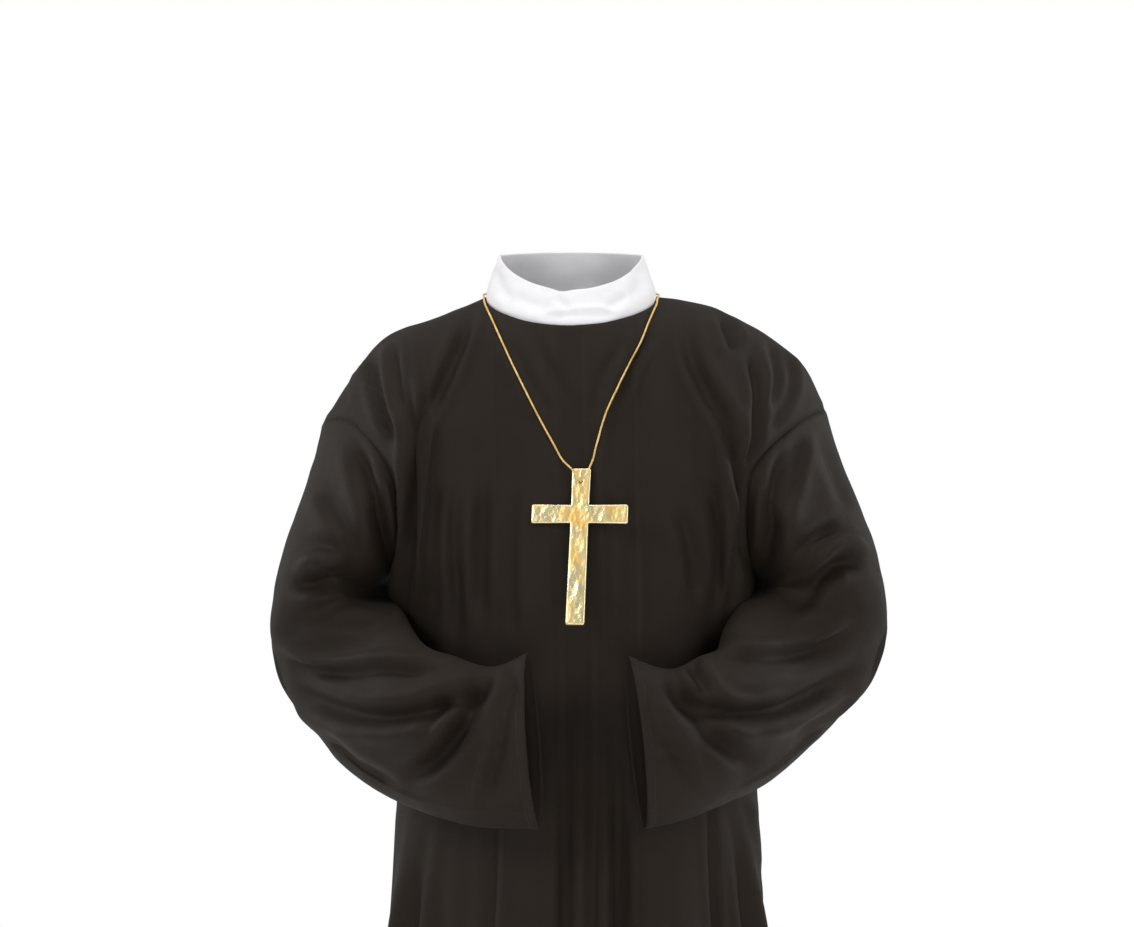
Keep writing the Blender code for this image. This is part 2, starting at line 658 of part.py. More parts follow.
def add_cross(material):
    """The cross plate with soft edges, and the hole for the cord."""
    outline = cross_outline()
    arms, up, out = cross_axes()
    body = bmesh.new()
    inset = 1 - CROSS_EDGE / (CROSS_BAR / 2)
    layers = []
    for height, shrink in ((-0.5, 1), (-0.5, 0), (0.5, 0), (0.5, 1)):
        depth = height * CROSS_THICKNESS
        flat = outline.copy()
        if shrink:
            following = np.roll(outline, -1, axis=0) - outline
            preceding = outline - np.roll(outline, 1, axis=0)
            sideways = unit(unit(following) + unit(preceding))
            flat = outline + np.stack([-sideways[:, 1], sideways[:, 0]], axis=1) * CROSS_EDGE
        else:
            depth *= inset
        layers.append([
            body.verts.new(np.array(CROSS_CENTRE) + arms * x + up * z + out * depth) for x, z in flat
        ])
    count = len(outline)
    for lower, upper in zip(layers, layers[1:]):
        for index in range(count):
            following = (index + 1) % count
            body.faces.new((lower[index], lower[following], upper[following], upper[index]))
    body.faces.new(layers[0][::-1])
    body.faces.new(layers[-1])
    bmesh.ops.recalc_face_normals(body, faces=body.faces)
    mesh = bpy.data.meshes.new("cross")
    body.to_mesh(mesh)
    body.free()
    mesh.materials.append(material)
    plate = bpy.data.objects.new("cross", mesh)
    costume.objects.link(plate)

    bpy.ops.mesh.primitive_cylinder_add(vertices=24, radius=HOLE_RADIUS, depth=0.02)
    drill = bpy.context.object
    drill.name = "cross_hole_cutter"
    hole = np.array(CROSS_CENTRE) + up * (CROSS_ABOVE - HOLE_BELOW_TOP)
    turn = Matrix(np.stack([arms, up, out], axis=1).tolist()).to_4x4()
    drill.matrix_world = Matrix.Translation(hole.tolist()) @ turn
    drill.display_type = "WIRE"
    drill.hide_render = True
    cut = plate.modifiers.new("hole", "BOOLEAN")
    cut.operation, cut.object, cut.solver = "DIFFERENCE", drill, "EXACT"
    return plate


def clear_of(surface, point, lift):
    """The point, moved straight off the cloth where it is nearer than the lift."""
    near, _, _, distance = surface.find_nearest(Vector(point))
    if distance >= lift:
        return np.array(point)
    return np.array(near + (Vector(point) - near).normalized() * lift)


def on_robe(surface, x, z, lift):
    """The point of the robe's front at this place, seen from the front, lifted off the cloth."""
    hit = surface.ray_cast(Vector((x, -1.0, z)), Vector((0, 1, 0)))[0]
    return clear_of(surface, np.array(hit) - [0, lift * 0.9, 0], lift)


def round_the_collar(turn, lift):
    """A point of the cord where it lies round the foot of the collar, 0 at +X and 90 in front."""
    ahead, side = math.sin(math.radians(turn)), math.cos(math.radians(turn))
    depth = NECK_FRONT if ahead > 0 else NECK_BACK
    z = NECK_SIDE_Z - NECK_FRONT_DROP * max(ahead, 0) ** 1.25 + NECK_BACK_RISE * max(-ahead, 0) ** 1.25
    half_width = NECK_HALF_WIDTHS[-1 if side < 0 else 1]
    return np.array([half_width * side, -(depth - 0.0005) * ahead, z + lift])


def strand(surface, rows, lift):
    """One strand on the front of the robe, at even steps through its table."""
    rows = table(CORD_COLUMNS, rows)
    knots = np.linspace(0, 1, len(rows["x"]))
    places = flow(knots, np.stack([rows["x"], rows["z"]], axis=1), np.linspace(0, 1, CORD_STEPS))
    laid = np.array([on_robe(surface, x, z, lift) for x, z in places])
    even = resample(laid, CORD_STEPS)
    return [clear_of(surface, point, lift) for point in even]


def over_shoulder(surface, start, end, lift):
    """Points of the cord between the collar's side and the top of a strand."""
    return [clear_of(surface, start + (end - start) * part, lift + 0.0002) for part in (0.25, 0.5, 0.75)]


def cord_route(surface):
    """The centreline of the cord: from the nape round the collar, through the cross and back."""
    lift = CORD_DIAMETER / 2 + CORD_CLEARANCE
    arms, up, out = cross_axes()
    hole = np.array(CROSS_CENTRE) + up * (CROSS_ABOVE - HOLE_BELOW_TOP)
    off_plate = CROSS_THICKNESS / 2 + lift
    over = lift + 0.0012
    on_cloth = CORD_DIAMETER / 2 + CORD_STANDOFF
    left_strand = strand(surface, CORD_LEFT, on_cloth)
    right_strand = strand(surface, CORD_RIGHT, on_cloth)
    points = [round_the_collar(turn, over) for turn in np.linspace(270 - KNOT_TURN, 178, CORD_ARC_STEPS)]
    points += over_shoulder(surface, points[-1], left_strand[0], on_cloth)
    points += left_strand
    points.append(hole - arms * 0.0085 + up * 0.0115 + out * off_plate)
    points.append(hole - arms * 0.0018 + up * 0.0026 + out * off_plate)
    points += [hole + out * off_plate, hole, hole - out * off_plate]
    points.append(hole + arms * 0.0012 + up * 0.0028 - out * off_plate)
    points.append(hole + arms * 0.0062 + up * 0.0130 - out * off_plate)
    points += right_strand[::-1]
    last_arc = [round_the_collar(turn, over) for turn in np.linspace(2, KNOT_TURN - 90, CORD_ARC_STEPS)]
    points += over_shoulder(surface, points[-1], last_arc[0], on_cloth) + last_arc
    return np.array(points)


def resample(points, count):
    """Points at even steps along the line through these points."""
    steps = np.concatenate([[0], np.cumsum(np.linalg.norm(np.diff(points, axis=0), axis=1))])
    return np.stack([np.interp(np.linspace(0, steps[-1], count), steps, axis) for axis in points.T], axis=1)


def add_cord(points, material):
    curve = bpy.data.curves.new("cord", "CURVE")
    curve.dimensions = "3D"
    spline = curve.splines.new("POLY")
    spline.points.add(len(points) - 1)
    for target, point in zip(spline.points, points):
        target.co = (*point, 1)
    curve.bevel_depth = CORD_DIAMETER / 2
    curve.bevel_resolution = 2
    curve.use_fill_caps = True
    curve.materials.append(material)
    thing = bpy.data.objects.new("cord", curve)
    costume.objects.link(thing)
    return thing


def add_knot(material):
    """The knot of the cord's two ends, at the nape."""
    nape = round_the_collar(270, KNOT_RADIUS + 0.0006)
    bpy.ops.mesh.primitive_uv_sphere_add(segments=16, ring_count=10, radius=KNOT_RADIUS, location=nape + [0, 0.0004, 0])
    knot = bpy.context.object
    knot.name = "cord_knot"
    knot.data.materials.append(material)
    knot.data.shade_smooth()
    for holder in knot.users_collection:
        holder.objects.unlink(knot)
    costume.objects.link(knot)


for old in list(bpy.data.objects):
    bpy.data.objects.remove(old, do_unlink=True)
costume = bpy.data.collections.new("priest_costume")
bpy.context.scene.collection.children.link(costume)

front, back = panel(-1), panel(1)
panels = {"robe_front": (front, -1), "robe_back": (back, 1)}
pieces = []
for name, (grid, facing) in panels.items():
    if facing > 0:
        grid = grid[:, ::-1]
    moved = body_folds(grid, facing)
    grid = grid + grid_normals(grid, False) * moved[..., None]
    pieces.append(Cloth(name, grid, False, ROBE_WALL))
for name, side in (("sleeve_right", -1), ("sleeve_left", 1)):
    grid = sleeve(side)
    moved = sleeve_folds(grid, side)
    if side > 0:
        grid, moved = grid[:, ::-1], moved[:, ::-1]
    grid = grid + grid_normals(grid, True) * moved[..., None]
    pieces.append(Cloth(name, grid, True, ROBE_WALL))
share_normals(pieces)
ways = {}
for piece in pieces[2:]:
    halve_seam_normals(piece)
    part_armhole(piece, ways)
pieces.append(Cloth("collar", collar(), True, COLLAR_WALL))

black = {"robe_front": 0.020, "robe_back": 0.020, "sleeve_right": 0.022, "sleeve_left": 0.022}
for piece in pieces:
    pull_back(piece, ways)
    points, faces = shell(piece)
    if piece.name == "collar":
        material = plain_material("white_collar_cloth", (0.86, 0.85, 0.87), 0.8)
    else:
        tone = black[piece.name]
        material = plain_material(piece.name + "_cloth", (tone, tone * 0.8, tone * 0.66), 0.75)
    add_mesh(piece.name, points, faces, material)

gold = plain_material("gold_foil", (0.80, 0.56, 0.22), 0.3, 1.0)
add_cross(gold)
surface = BVHTree.FromObject(costume.objects["robe_front"], bpy.context.evaluated_depsgraph_get())
add_cord(cord_route(surface), plain_material("gold_cord", (0.85, 0.50, 0.10), 0.5))
add_knot(plain_material("gold_knot", (0.85, 0.50, 0.10), 0.5))
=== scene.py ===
# %% [markdown]
# # A priest costume in its worn form
# The costume is a long black polyester robe with wide drop-shoulder sleeves, a white stand collar
# and a gilt cross on a cord. It keeps the hollow shape that a wearer gives it, with nobody inside.
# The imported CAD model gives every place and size. This script puts finished cloth, foil and cord
# on those solids.

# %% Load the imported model
import math

import bmesh
import bpy
import numpy as np
from mathutils import Matrix, Vector
from mathutils.bvhtree import BVHTree
from mathutils.geometry import delaunay_2d_cdt


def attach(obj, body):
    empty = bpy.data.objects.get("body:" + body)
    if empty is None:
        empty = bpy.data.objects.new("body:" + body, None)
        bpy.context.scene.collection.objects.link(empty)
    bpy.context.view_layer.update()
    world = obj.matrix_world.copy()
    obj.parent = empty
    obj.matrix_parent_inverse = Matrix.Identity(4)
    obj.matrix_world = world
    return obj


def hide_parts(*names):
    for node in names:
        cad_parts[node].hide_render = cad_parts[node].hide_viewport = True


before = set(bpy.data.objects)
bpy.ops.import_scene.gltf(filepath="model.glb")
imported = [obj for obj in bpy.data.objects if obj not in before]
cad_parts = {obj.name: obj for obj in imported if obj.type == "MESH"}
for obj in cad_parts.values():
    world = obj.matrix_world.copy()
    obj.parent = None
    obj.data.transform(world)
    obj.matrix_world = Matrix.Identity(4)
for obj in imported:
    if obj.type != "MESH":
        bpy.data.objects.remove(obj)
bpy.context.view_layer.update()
print("CAD nodes:", sorted(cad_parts))

# %% [markdown]
# ## The camera, the light and the floor
# The photograph was taken from straight in front with a long lens, so the folds lie almost in
# parallel view. One picture pixel is one millimetre at the middle of the robe, which makes every
# measured place easy to carry over. The light is a white studio: wide soft lamps in front and two
# at the sides, which put the thin bright lines on the edges of the black cloth.

# %% Camera
PICTURE_WIDTH, PICTURE_HEIGHT = 1134, 927
CAMERA_DISTANCE = 3.6
CAMERA_X, CAMERA_Z = -0.001, -0.168
SENSOR_WIDTH = 36.0
camera_data = bpy.data.cameras.new("camera")
camera_data.sensor_width = SENSOR_WIDTH
camera_data.lens = CAMERA_DISTANCE * 1000 / PICTURE_WIDTH * SENSOR_WIDTH
camera = bpy.data.objects.new("camera", camera_data)
camera.location = (CAMERA_X, -CAMERA_DISTANCE, CAMERA_Z)
camera.rotation_euler = (math.pi / 2, 0, 0)
bpy.context.scene.collection.objects.link(camera)
bpy.context.scene.camera = camera
print("lens", round(camera_data.lens, 1), "mm")


def seen(points):
    """Where points fall in the photograph, in its own pixels."""
    scale = (CAMERA_DISTANCE + points[..., 1]) / (CAMERA_DISTANCE * 1000)
    across = PICTURE_WIDTH / 2 + (points[..., 0] - CAMERA_X) / scale
    down = PICTURE_HEIGHT / 2 - (points[..., 2] - CAMERA_Z) / scale
    return np.stack([across, down], axis=-1)


# %% Lamps, white world and floor
LAMP_COLUMNS = "name x y z width height watts"
LAMPS = (
    ("front_left", -2.6, -2.2, 1.5, 1.2, 1.4, 40),
    ("front_right", 2.6, -2.4, 1.1, 1.4, 1.6, 34),
    ("side_left", -2.4, 0.9, 0.5, 0.5, 2.2, 22),
    ("side_right", 2.4, 0.9, 0.5, 0.5, 2.2, 22),
    ("overhead", 0.0, -0.3, 2.4, 1.0, 0.8, 26),
    ("low_front", 0.0, -3.4, -0.9, 2.4, 0.9, 30),
)
AIM = Vector((0, 0, -0.3))
for name, x, y, z, width, height, watts in LAMPS:
    data = bpy.data.lights.new(name, "AREA")
    data.shape, data.size, data.size_y, data.energy = "RECTANGLE", width, height, watts
    lamp = bpy.data.objects.new(name, data)
    lamp.location = (x, y, z)
    lamp.rotation_euler = (AIM - lamp.location).to_track_quat("-Z", "Y").to_euler()
    bpy.context.scene.collection.objects.link(lamp)

WHITE_SEEN, WHITE_LIGHT = 1.0, 0.34
world = bpy.data.worlds.new("white_studio")
world.use_nodes = True
nodes, links = world.node_tree.nodes, world.node_tree.links
paths = nodes.new("ShaderNodeLightPath")
strength = nodes.new("ShaderNodeMapRange")
strength.inputs["To Min"].default_value = WHITE_LIGHT
strength.inputs["To Max"].default_value = WHITE_SEEN
links.new(paths.outputs["Is Camera Ray"], strength.inputs["Value"])
nodes["Background"].inputs["Color"].default_value = (1, 1, 1, 1)
links.new(strength.outputs["Result"], nodes["Background"].inputs["Strength"])
bpy.context.scene.world = world
bpy.context.scene.view_settings.view_transform = "Standard"

FLOOR_Z = -1.386
bpy.ops.mesh.primitive_circle_add(vertices=96, radius=5.0, fill_type="NGON", location=(0, 0, FLOOR_Z))
floor = bpy.context.object
floor.name = "floor"
pale = bpy.data.materials.new("pale_floor")
pale.use_nodes = True
pale.node_tree.nodes["Principled BSDF"].inputs["Base Color"].default_value = (0.9, 0.9, 0.9, 1)
pale.node_tree.nodes["Principled BSDF"].inputs["Roughness"].default_value = 0.9
floor.data.materials.append(pale)

# %% [markdown]
# ## Curves through a few named sizes
# A garment's form changes slowly from ring to ring. Each table below names a few sizes, and these
# helpers read a smooth curve through them, so that the shape can be changed at one knot.


# %% Helpers
def table(columns, rows):
    return dict(zip(columns.split(), np.array(rows, float).T))


def flow(knots, values, at):
    """Values read from a smooth curve through the knots."""
    knots, values = np.asarray(knots, float), np.asarray(values, float)
    at = np.clip(np.asarray(at, float), knots[0], knots[-1])
    slopes = np.gradient(values, knots, axis=0)
    before = np.clip(np.searchsorted(knots, at, side="right") - 1, 0, len(knots) - 2)
    span = knots[before + 1] - knots[before]
    t = (at - knots[before]) / span
    if values.ndim > 1:
        span, t = span[..., None], t[..., None]
    start = (1 + 2 * t) * (1 - t) ** 2 * values[before] + t * (1 - t) ** 2 * span * slopes[before]
    end = t * t * (3 - 2 * t) * values[before + 1] + t * t * (t - 1) * span * slopes[before + 1]
    return start + end


def ease(value, low, high):
    t = np.clip((np.asarray(value, float) - low) / (high - low), 0, 1)
    return t * t * (3 - 2 * t)


def unit(vectors):
    return vectors / np.maximum(np.linalg.norm(vectors, axis=-1, keepdims=True), 1e-12)


def bump(distance, width):
    return np.exp(-((distance / width) ** 2))


def lengths(points):
    """How far each point lies along the line through the points."""
    return np.concatenate([[0], np.cumsum(np.linalg.norm(np.diff(points, axis=0), axis=1))])


def resample(points, count):
    steps = lengths(points)
    return np.stack([np.interp(np.linspace(0, steps[-1], count), steps, axis) for axis in points.T], axis=1)


def cloud(points, size, seed):
    """Soft random values from -1 to 1 that change over this size."""
    values = np.random.default_rng(seed).uniform(-1, 1, (32, 32, 32))
    place = points / size
    low = np.floor(place).astype(int)
    part = place - low
    part = part * part * (3 - 2 * part)
    total = 0
    for corner in np.ndindex(2, 2, 2):
        weight = np.prod(np.where(np.array(corner) == 1, part, 1 - part), axis=-1)
        index = (low + corner) % 32
        total = total + weight * values[index[..., 0], index[..., 1], index[..., 2]]
    return total


# %% [markdown]
# ## The cut and the fall of the robe
# The front and the back are two panels that meet at the shoulder seams and the side seams, and
# each leaves half of an armhole for a sleeve. These are the sizes of the solids, so the cloth
# falls exactly on them. Below the waist every row is a level ring, half as deep as it is wide.

# %% The robe's sizes
BODY_MIDDLE, WAIST_JOIN, ROBE_LENGTH = 0.010, -0.420, 1.380
NECK_HALF_WIDTHS, NECK_SIDE_Z = {-1: 0.0845, 1: 0.0910}, -0.002
NECK_FRONT, NECK_FRONT_DROP = 0.088, 0.031
NECK_BACK, NECK_BACK_RISE = 0.070, 0.012
NECK_SHARE, SIDE_REACH, UNDERARM_AT = 0.36, 0.75, 0.88
CAD_ARM_ROWS, CAD_UNDERARM_ROWS, CAD_SKIRT_ROWS = 8, 2, 13

RING_COLUMNS = "z half_width front back corner"
RINGS = (
    (-0.360, 0.176, 0.140, 0.126, 2.25),
    (-0.420, 0.178, 0.142, 0.126, 2.25),
    (-0.500, 0.179, 0.144, 0.128, 2.25),
    (-0.630, 0.181, 0.147, 0.134, 2.25),
    (-0.850, 0.192, 0.156, 0.147, 2.20),
    (-1.100, 0.214, 0.170, 0.164, 2.15),
    (-1.380, 0.244, 0.188, 0.184, 2.10),
)

SHOULDER_LINE_COLUMNS = "x z"
SHOULDER_LINES = {
    -1: ((0.0845, -0.002), (0.110, -0.013), (0.138, -0.024), (0.166, -0.034), (0.190, -0.049),
         (0.214, -0.079), (0.245, -0.126)),
    1: ((0.0910, -0.002), (0.114, -0.004), (0.146, -0.013), (0.177, -0.028), (0.207, -0.046),
        (0.235, -0.071), (0.257, -0.113)),
}

ARMHOLE_COLUMNS = "turn x y z"
ARMHOLE_LOOPS = {
    -1: ((0, 0.245, 0.000, -0.126), (45, 0.210, -0.066, -0.129), (90, 0.171, -0.108, -0.180),
         (135, 0.166, -0.076, -0.248), (180, 0.172, 0.000, -0.272), (225, 0.168, 0.070, -0.248),
         (270, 0.174, 0.102, -0.182), (315, 0.214, 0.064, -0.128)),
    1: ((0, 0.257, 0.000, -0.113), (45, 0.224, -0.066, -0.130), (90, 0.179, -0.108, -0.176),
        (135, 0.176, -0.076, -0.246), (180, 0.184, 0.000, -0.270), (225, 0.178, 0.070, -0.246),
        (270, 0.184, 0.102, -0.180), (315, 0.222, 0.064, -0.124)),
}

LEAVING_COLUMNS = "share inwards outwards down pull"
LEAVING = {
    -1: ((0.00, 0.00, 0.50, 0.86, 0.9), (0.18, 0.00, 0.62, 0.78, 0.9), (0.36, -0.02, 0.96, 0.28, 1.0),
         (0.50, 0.00, 0.99, 0.10, 0.9), (0.70, 0.02, 1.00, 0.02, 0.9), (1.00, 0.20, 0.96, 0.12, 0.8)),
    1: ((0.00, 0.00, 0.40, 0.92, 0.9), (0.18, 0.00, 0.62, 0.78, 0.9), (0.36, -0.02, 1.00, -0.06, 0.9),
        (0.50, 0.00, 1.00, -0.02, 0.9), (0.70, 0.02, 1.00, 0.02, 0.9), (1.00, 0.20, 0.96, 0.12, 0.8)),
}

# %% How finely each piece is divided
NECK_COLUMNS, SHOULDER_COLUMNS = 22, 44
ARM_ROWS, UNDERARM_ROWS, SKIRT_ROWS = 64, 14, 150
SLEEVE_ROWS = 132
SLEEVE_COLUMNS = 2 * ARM_ROWS


def armhole(side, turn):
    """Points of an armhole at these turns in degrees, 0 at the outer tip and 90 at the front."""
    loop = table(ARMHOLE_COLUMNS, ARMHOLE_LOOPS[side])
    turns = np.concatenate([loop["turn"] - 360, loop["turn"], loop["turn"] + 360])
    points = np.stack([side * loop["x"], loop["y"], loop["z"]], axis=1)
    return flow(turns, np.tile(points, (3, 1)), turn)


def shares():
    neck = np.linspace(0, NECK_SHARE, NECK_COLUMNS + 1)
    shoulder = np.linspace(NECK_SHARE, 1, SHOULDER_COLUMNS + 1)
    half = np.concatenate([neck, shoulder[1:]])
    return np.concatenate([-half[:0:-1], half])


def top_edge(share, facing):
    """The top edge of a panel: half of the neckline, then the shoulder seam."""
    side, reach = (-1 if share < 0 else 1), abs(share)
    if reach <= NECK_SHARE:
        turn = reach / NECK_SHARE * math.pi / 2
        depth, drop = (NECK_FRONT, -NECK_FRONT_DROP) if facing < 0 else (NECK_BACK, NECK_BACK_RISE)
        ahead = max(math.cos(turn), 0.0)
        x = side * NECK_HALF_WIDTHS[side] * math.sin(turn)
        return np.array([x, facing * depth * ahead, NECK_SIDE_Z + drop * ahead**1.25])
    line = table(SHOULDER_LINE_COLUMNS, SHOULDER_LINES[side])
    along = (reach - NECK_SHARE) / (1 - NECK_SHARE)
    x, z = flow(np.linspace(0, 1, len(line["x"])), np.stack([line["x"], line["z"]], axis=1), along)
    return np.array([side * x, 0, z])


def ring_point(share, z, facing):
    rings = table(RING_COLUMNS, RINGS[::-1])
    half_width, corner = (flow(rings["z"], rings[name], z) for name in ("half_width", "corner"))
    depth = flow(rings["z"], rings["front" if facing < 0 else "back"], z)
    turn = abs(share) * math.pi / 2
    x = math.copysign(half_width * math.sin(turn) ** (2 / corner), share)
    return np.array([BODY_MIDDLE + x, facing * depth * max(math.cos(turn), 0.0) ** (2 / corner), z])


def yoke_steps():
    arm = np.linspace(0, UNDERARM_AT, ARM_ROWS + 1)
    return np.concatenate([arm, np.linspace(UNDERARM_AT, 1, UNDERARM_ROWS + 1)[1:]])


def yoke_column(share, facing):
    """A column of a panel from its top edge to the first level ring, without the armhole."""
    start, end = top_edge(share, facing), ring_point(share, WAIST_JOIN, facing)
    leaving = table(LEAVING_COLUMNS, LEAVING[facing])
    inwards, outwards, down, pull = (
        flow(leaving["share"], leaving[name], abs(share)) for name in LEAVING_COLUMNS.split()[1:]
    )
    chord = np.linalg.norm(end - start)
    first = unit(np.array([-math.copysign(inwards, share), facing * outwards, -down])) * chord * pull
    last = (ring_point(share, WAIST_JOIN - 0.01, facing) - end) / 0.01 * chord
    t = yoke_steps()[:, None]
    top = (1 + 2 * t) * (1 - t) ** 2 * start + t * (1 - t) ** 2 * first
    return top + t * t * (3 - 2 * t) * end + t * t * (t - 1) * last


def side_edge(side, facing):
    turns = np.linspace(0, 180, ARM_ROWS + 1)
    hole = armhole(side, turns if facing < 0 else 360 - turns)
    end = ring_point(side, WAIST_JOIN, facing)
    return np.concatenate([hole, hole[-1] + (end - hole[-1]) * np.linspace(0, 1, UNDERARM_ROWS + 1)[1:, None]])


def soften_below_the_neck(grid):
    """Let the cloth run on smoothly below the corner where the neckline meets the shoulder seam."""
    weight = bump(np.abs(shares()) - NECK_SHARE, 0.09)[None, 1:-1, None]
    weight = weight * ease(np.arange(len(grid)), 0, 10)[:, None, None]
    for _ in range(160):
        middle = (grid[:, :-2] + grid[:, 2:]) / 2
        grid[:, 1:-1] += 0.8 * weight * (middle - grid[:, 1:-1])
    return grid


def panel(facing):
    """The outer face of the front (-1) or the back (1), as a grid of rows and columns."""
    heights = np.linspace(WAIST_JOIN, -ROBE_LENGTH, SKIRT_ROWS + 1)[1:]
    missing = {side: side_edge(side, facing) - yoke_column(side, facing) for side in (-1, 1)}
    columns = []
    for share in shares():
        level = ease(abs(share), 1 - SIDE_REACH, 1)
        height = max((abs(share) - 1 + SIDE_REACH) / SIDE_REACH, 0) ** 3
        yoke = yoke_column(share, facing) + missing[-1 if share < 0 else 1] * np.array([level, level, height])
        columns.append(np.concatenate([yoke, [ring_point(share, z, facing) for z in heights]]))
    return soften_below_the_neck(np.stack(columns, axis=1))


# %% [markdown]
# ## The sleeves
# A drop-shoulder sleeve is a wide tube. It starts as the armhole, hangs down the upper arm, bends
# forward at the elbow and ends in an open cuff. Rings with a named outer and inner edge carry it
# round the bend, and the armhole's own shape dies out over the first third.

# %% The sleeves' sizes
ARMHOLE_REACH, TWIST, TWIST_REACH, BODY_CLEARANCE = 0.34, 42.0, 0.38, 0.008
SLEEVE_RING_COLUMNS = "outer_x outer_y outer_z inner_x inner_y inner_z facing front back"
SLEEVE_RINGS = {
    -1: (
        (0.250, 0.000, -0.145, 0.177, -0.002, -0.273, 0, 0.108, 0.102),
        (0.264, 0.005, -0.202, 0.190, -0.012, -0.280, 7, 0.104, 0.096),
        (0.276, 0.012, -0.255, 0.197, -0.028, -0.290, 16, 0.096, 0.086),
        (0.279, 0.018, -0.305, 0.195, -0.047, -0.298, 26, 0.084, 0.074),
        (0.279, 0.022, -0.355, 0.187, -0.066, -0.303, 35, 0.072, 0.063),
        (0.270, 0.018, -0.398, 0.177, -0.086, -0.306, 41, 0.062, 0.055),
        (0.244, -0.004, -0.434, 0.167, -0.106, -0.312, 43, 0.054, 0.049),
        (0.213, -0.052, -0.468, 0.158, -0.127, -0.325, 42, 0.048, 0.044),
        (0.170, -0.112, -0.492, 0.139, -0.152, -0.343, 36, 0.045, 0.040),
        (0.120, -0.156, -0.507, 0.106, -0.173, -0.353, 28, 0.045, 0.037),
        (0.072, -0.184, -0.513, 0.072, -0.190, -0.360, 20, 0.044, 0.036),
        (0.026, -0.198, -0.513, 0.038, -0.201, -0.347, 9, 0.043, 0.036),
    ),
    1: (
        (0.264, 0.000, -0.132, 0.189, -0.002, -0.271, 0, 0.108, 0.102),
        (0.280, 0.005, -0.188, 0.198, -0.012, -0.277, 7, 0.104, 0.096),
        (0.296, 0.012, -0.240, 0.203, -0.028, -0.285, 16, 0.096, 0.086),
        (0.302, 0.018, -0.292, 0.200, -0.047, -0.292, 26, 0.084, 0.074),
        (0.303, 0.022, -0.345, 0.192, -0.066, -0.297, 35, 0.072, 0.063),
        (0.289, 0.018, -0.391, 0.182, -0.086, -0.300, 41, 0.062, 0.055),
        (0.260, -0.004, -0.424, 0.171, -0.106, -0.306, 43, 0.054, 0.049),
        (0.226, -0.052, -0.453, 0.161, -0.127, -0.320, 42, 0.048, 0.044),
        (0.186, -0.112, -0.479, 0.150, -0.152, -0.342, 36, 0.045, 0.040),
        (0.143, -0.156, -0.495, 0.124, -0.173, -0.352, 28, 0.044, 0.037),
        (0.104, -0.184, -0.507, 0.096, -0.190, -0.363, 20, 0.043, 0.036),
        (0.072, -0.198, -0.513, 0.056, -0.201, -0.350, 9, 0.042, 0.036),
    ),
}


def off_the_body(points, clearance):
    """Points moved straight out from the robe's level rings until they are this far off them."""
    rings = table(RING_COLUMNS, RINGS[::-1])
    z = np.clip(points[..., 2], -ROBE_LENGTH, RINGS[0][0])
    half_width, front, back, corner = (flow(rings["z"], rings[name], z) for name in RING_COLUMNS.split()[1:])
    x, y = points[..., 0] - BODY_MIDDLE, points[..., 1]
    depth = np.where(y < 0, front, back) + clearance
    reach = ((np.abs(x) / (half_width + clearance)) ** corner + (np.abs(y) / depth) ** corner) ** (1 / corner)
    out = 1 / np.clip(reach, 0.5, 1)
    return np.stack([BODY_MIDDLE + x * out, y * out, points[..., 2]], axis=-1)


def sleeve_turns():
    along = np.linspace(0, 1, SLEEVE_ROWS + 1)[:, None]
    return np.linspace(0, 360, SLEEVE_COLUMNS + 1)[None, :-1] + TWIST * ease(along, 0, TWIST_REACH)


def sleeve(side):
    """The outer face of a sleeve, as rings from the armhole to the cuff."""
    first = armhole(side, np.linspace(0, 360, SLEEVE_COLUMNS + 1)[:-1])
    rows = table(SLEEVE_RING_COLUMNS, SLEEVE_RINGS[side])
    values = np.stack([rows[name] for name in SLEEVE_RING_COLUMNS.split()], axis=1)
    along = np.linspace(0, 1, SLEEVE_ROWS + 1)
    rings = []
    for place, turns in zip(flow(np.linspace(0, 1, len(values)), values, along), sleeve_turns()):
        outer = np.array([side * place[0], place[1], place[2]])
        inner = np.array([side * place[3], place[4], place[5]])
        angle = math.radians(place[6])
        forward = np.array([side * math.sin(angle), -math.cos(angle), 0])
        around = np.radians(turns)[:, None]
        depth = np.where(np.sin(around) > 0, place[7], place[8])
        rings.append((outer + inner) / 2 + (outer - inner) / 2 * np.cos(around) + forward * depth * np.sin(around))
    rings = np.array(rings)
    rings = rings + (first - rings[0]) * (1 - ease(along, 0.0, ARMHOLE_REACH))[:, None, None]
    return rings + (off_the_body(rings, BODY_CLEARANCE) - rings) * ease(along, 0.0, 0.15)[:, None, None]


# %% [markdown]
# ## The large folds
# These are the folds that the solids have too, so the cloth and the solids agree. Each fold is a
# soft ridge or trough along a straight line on the piece.

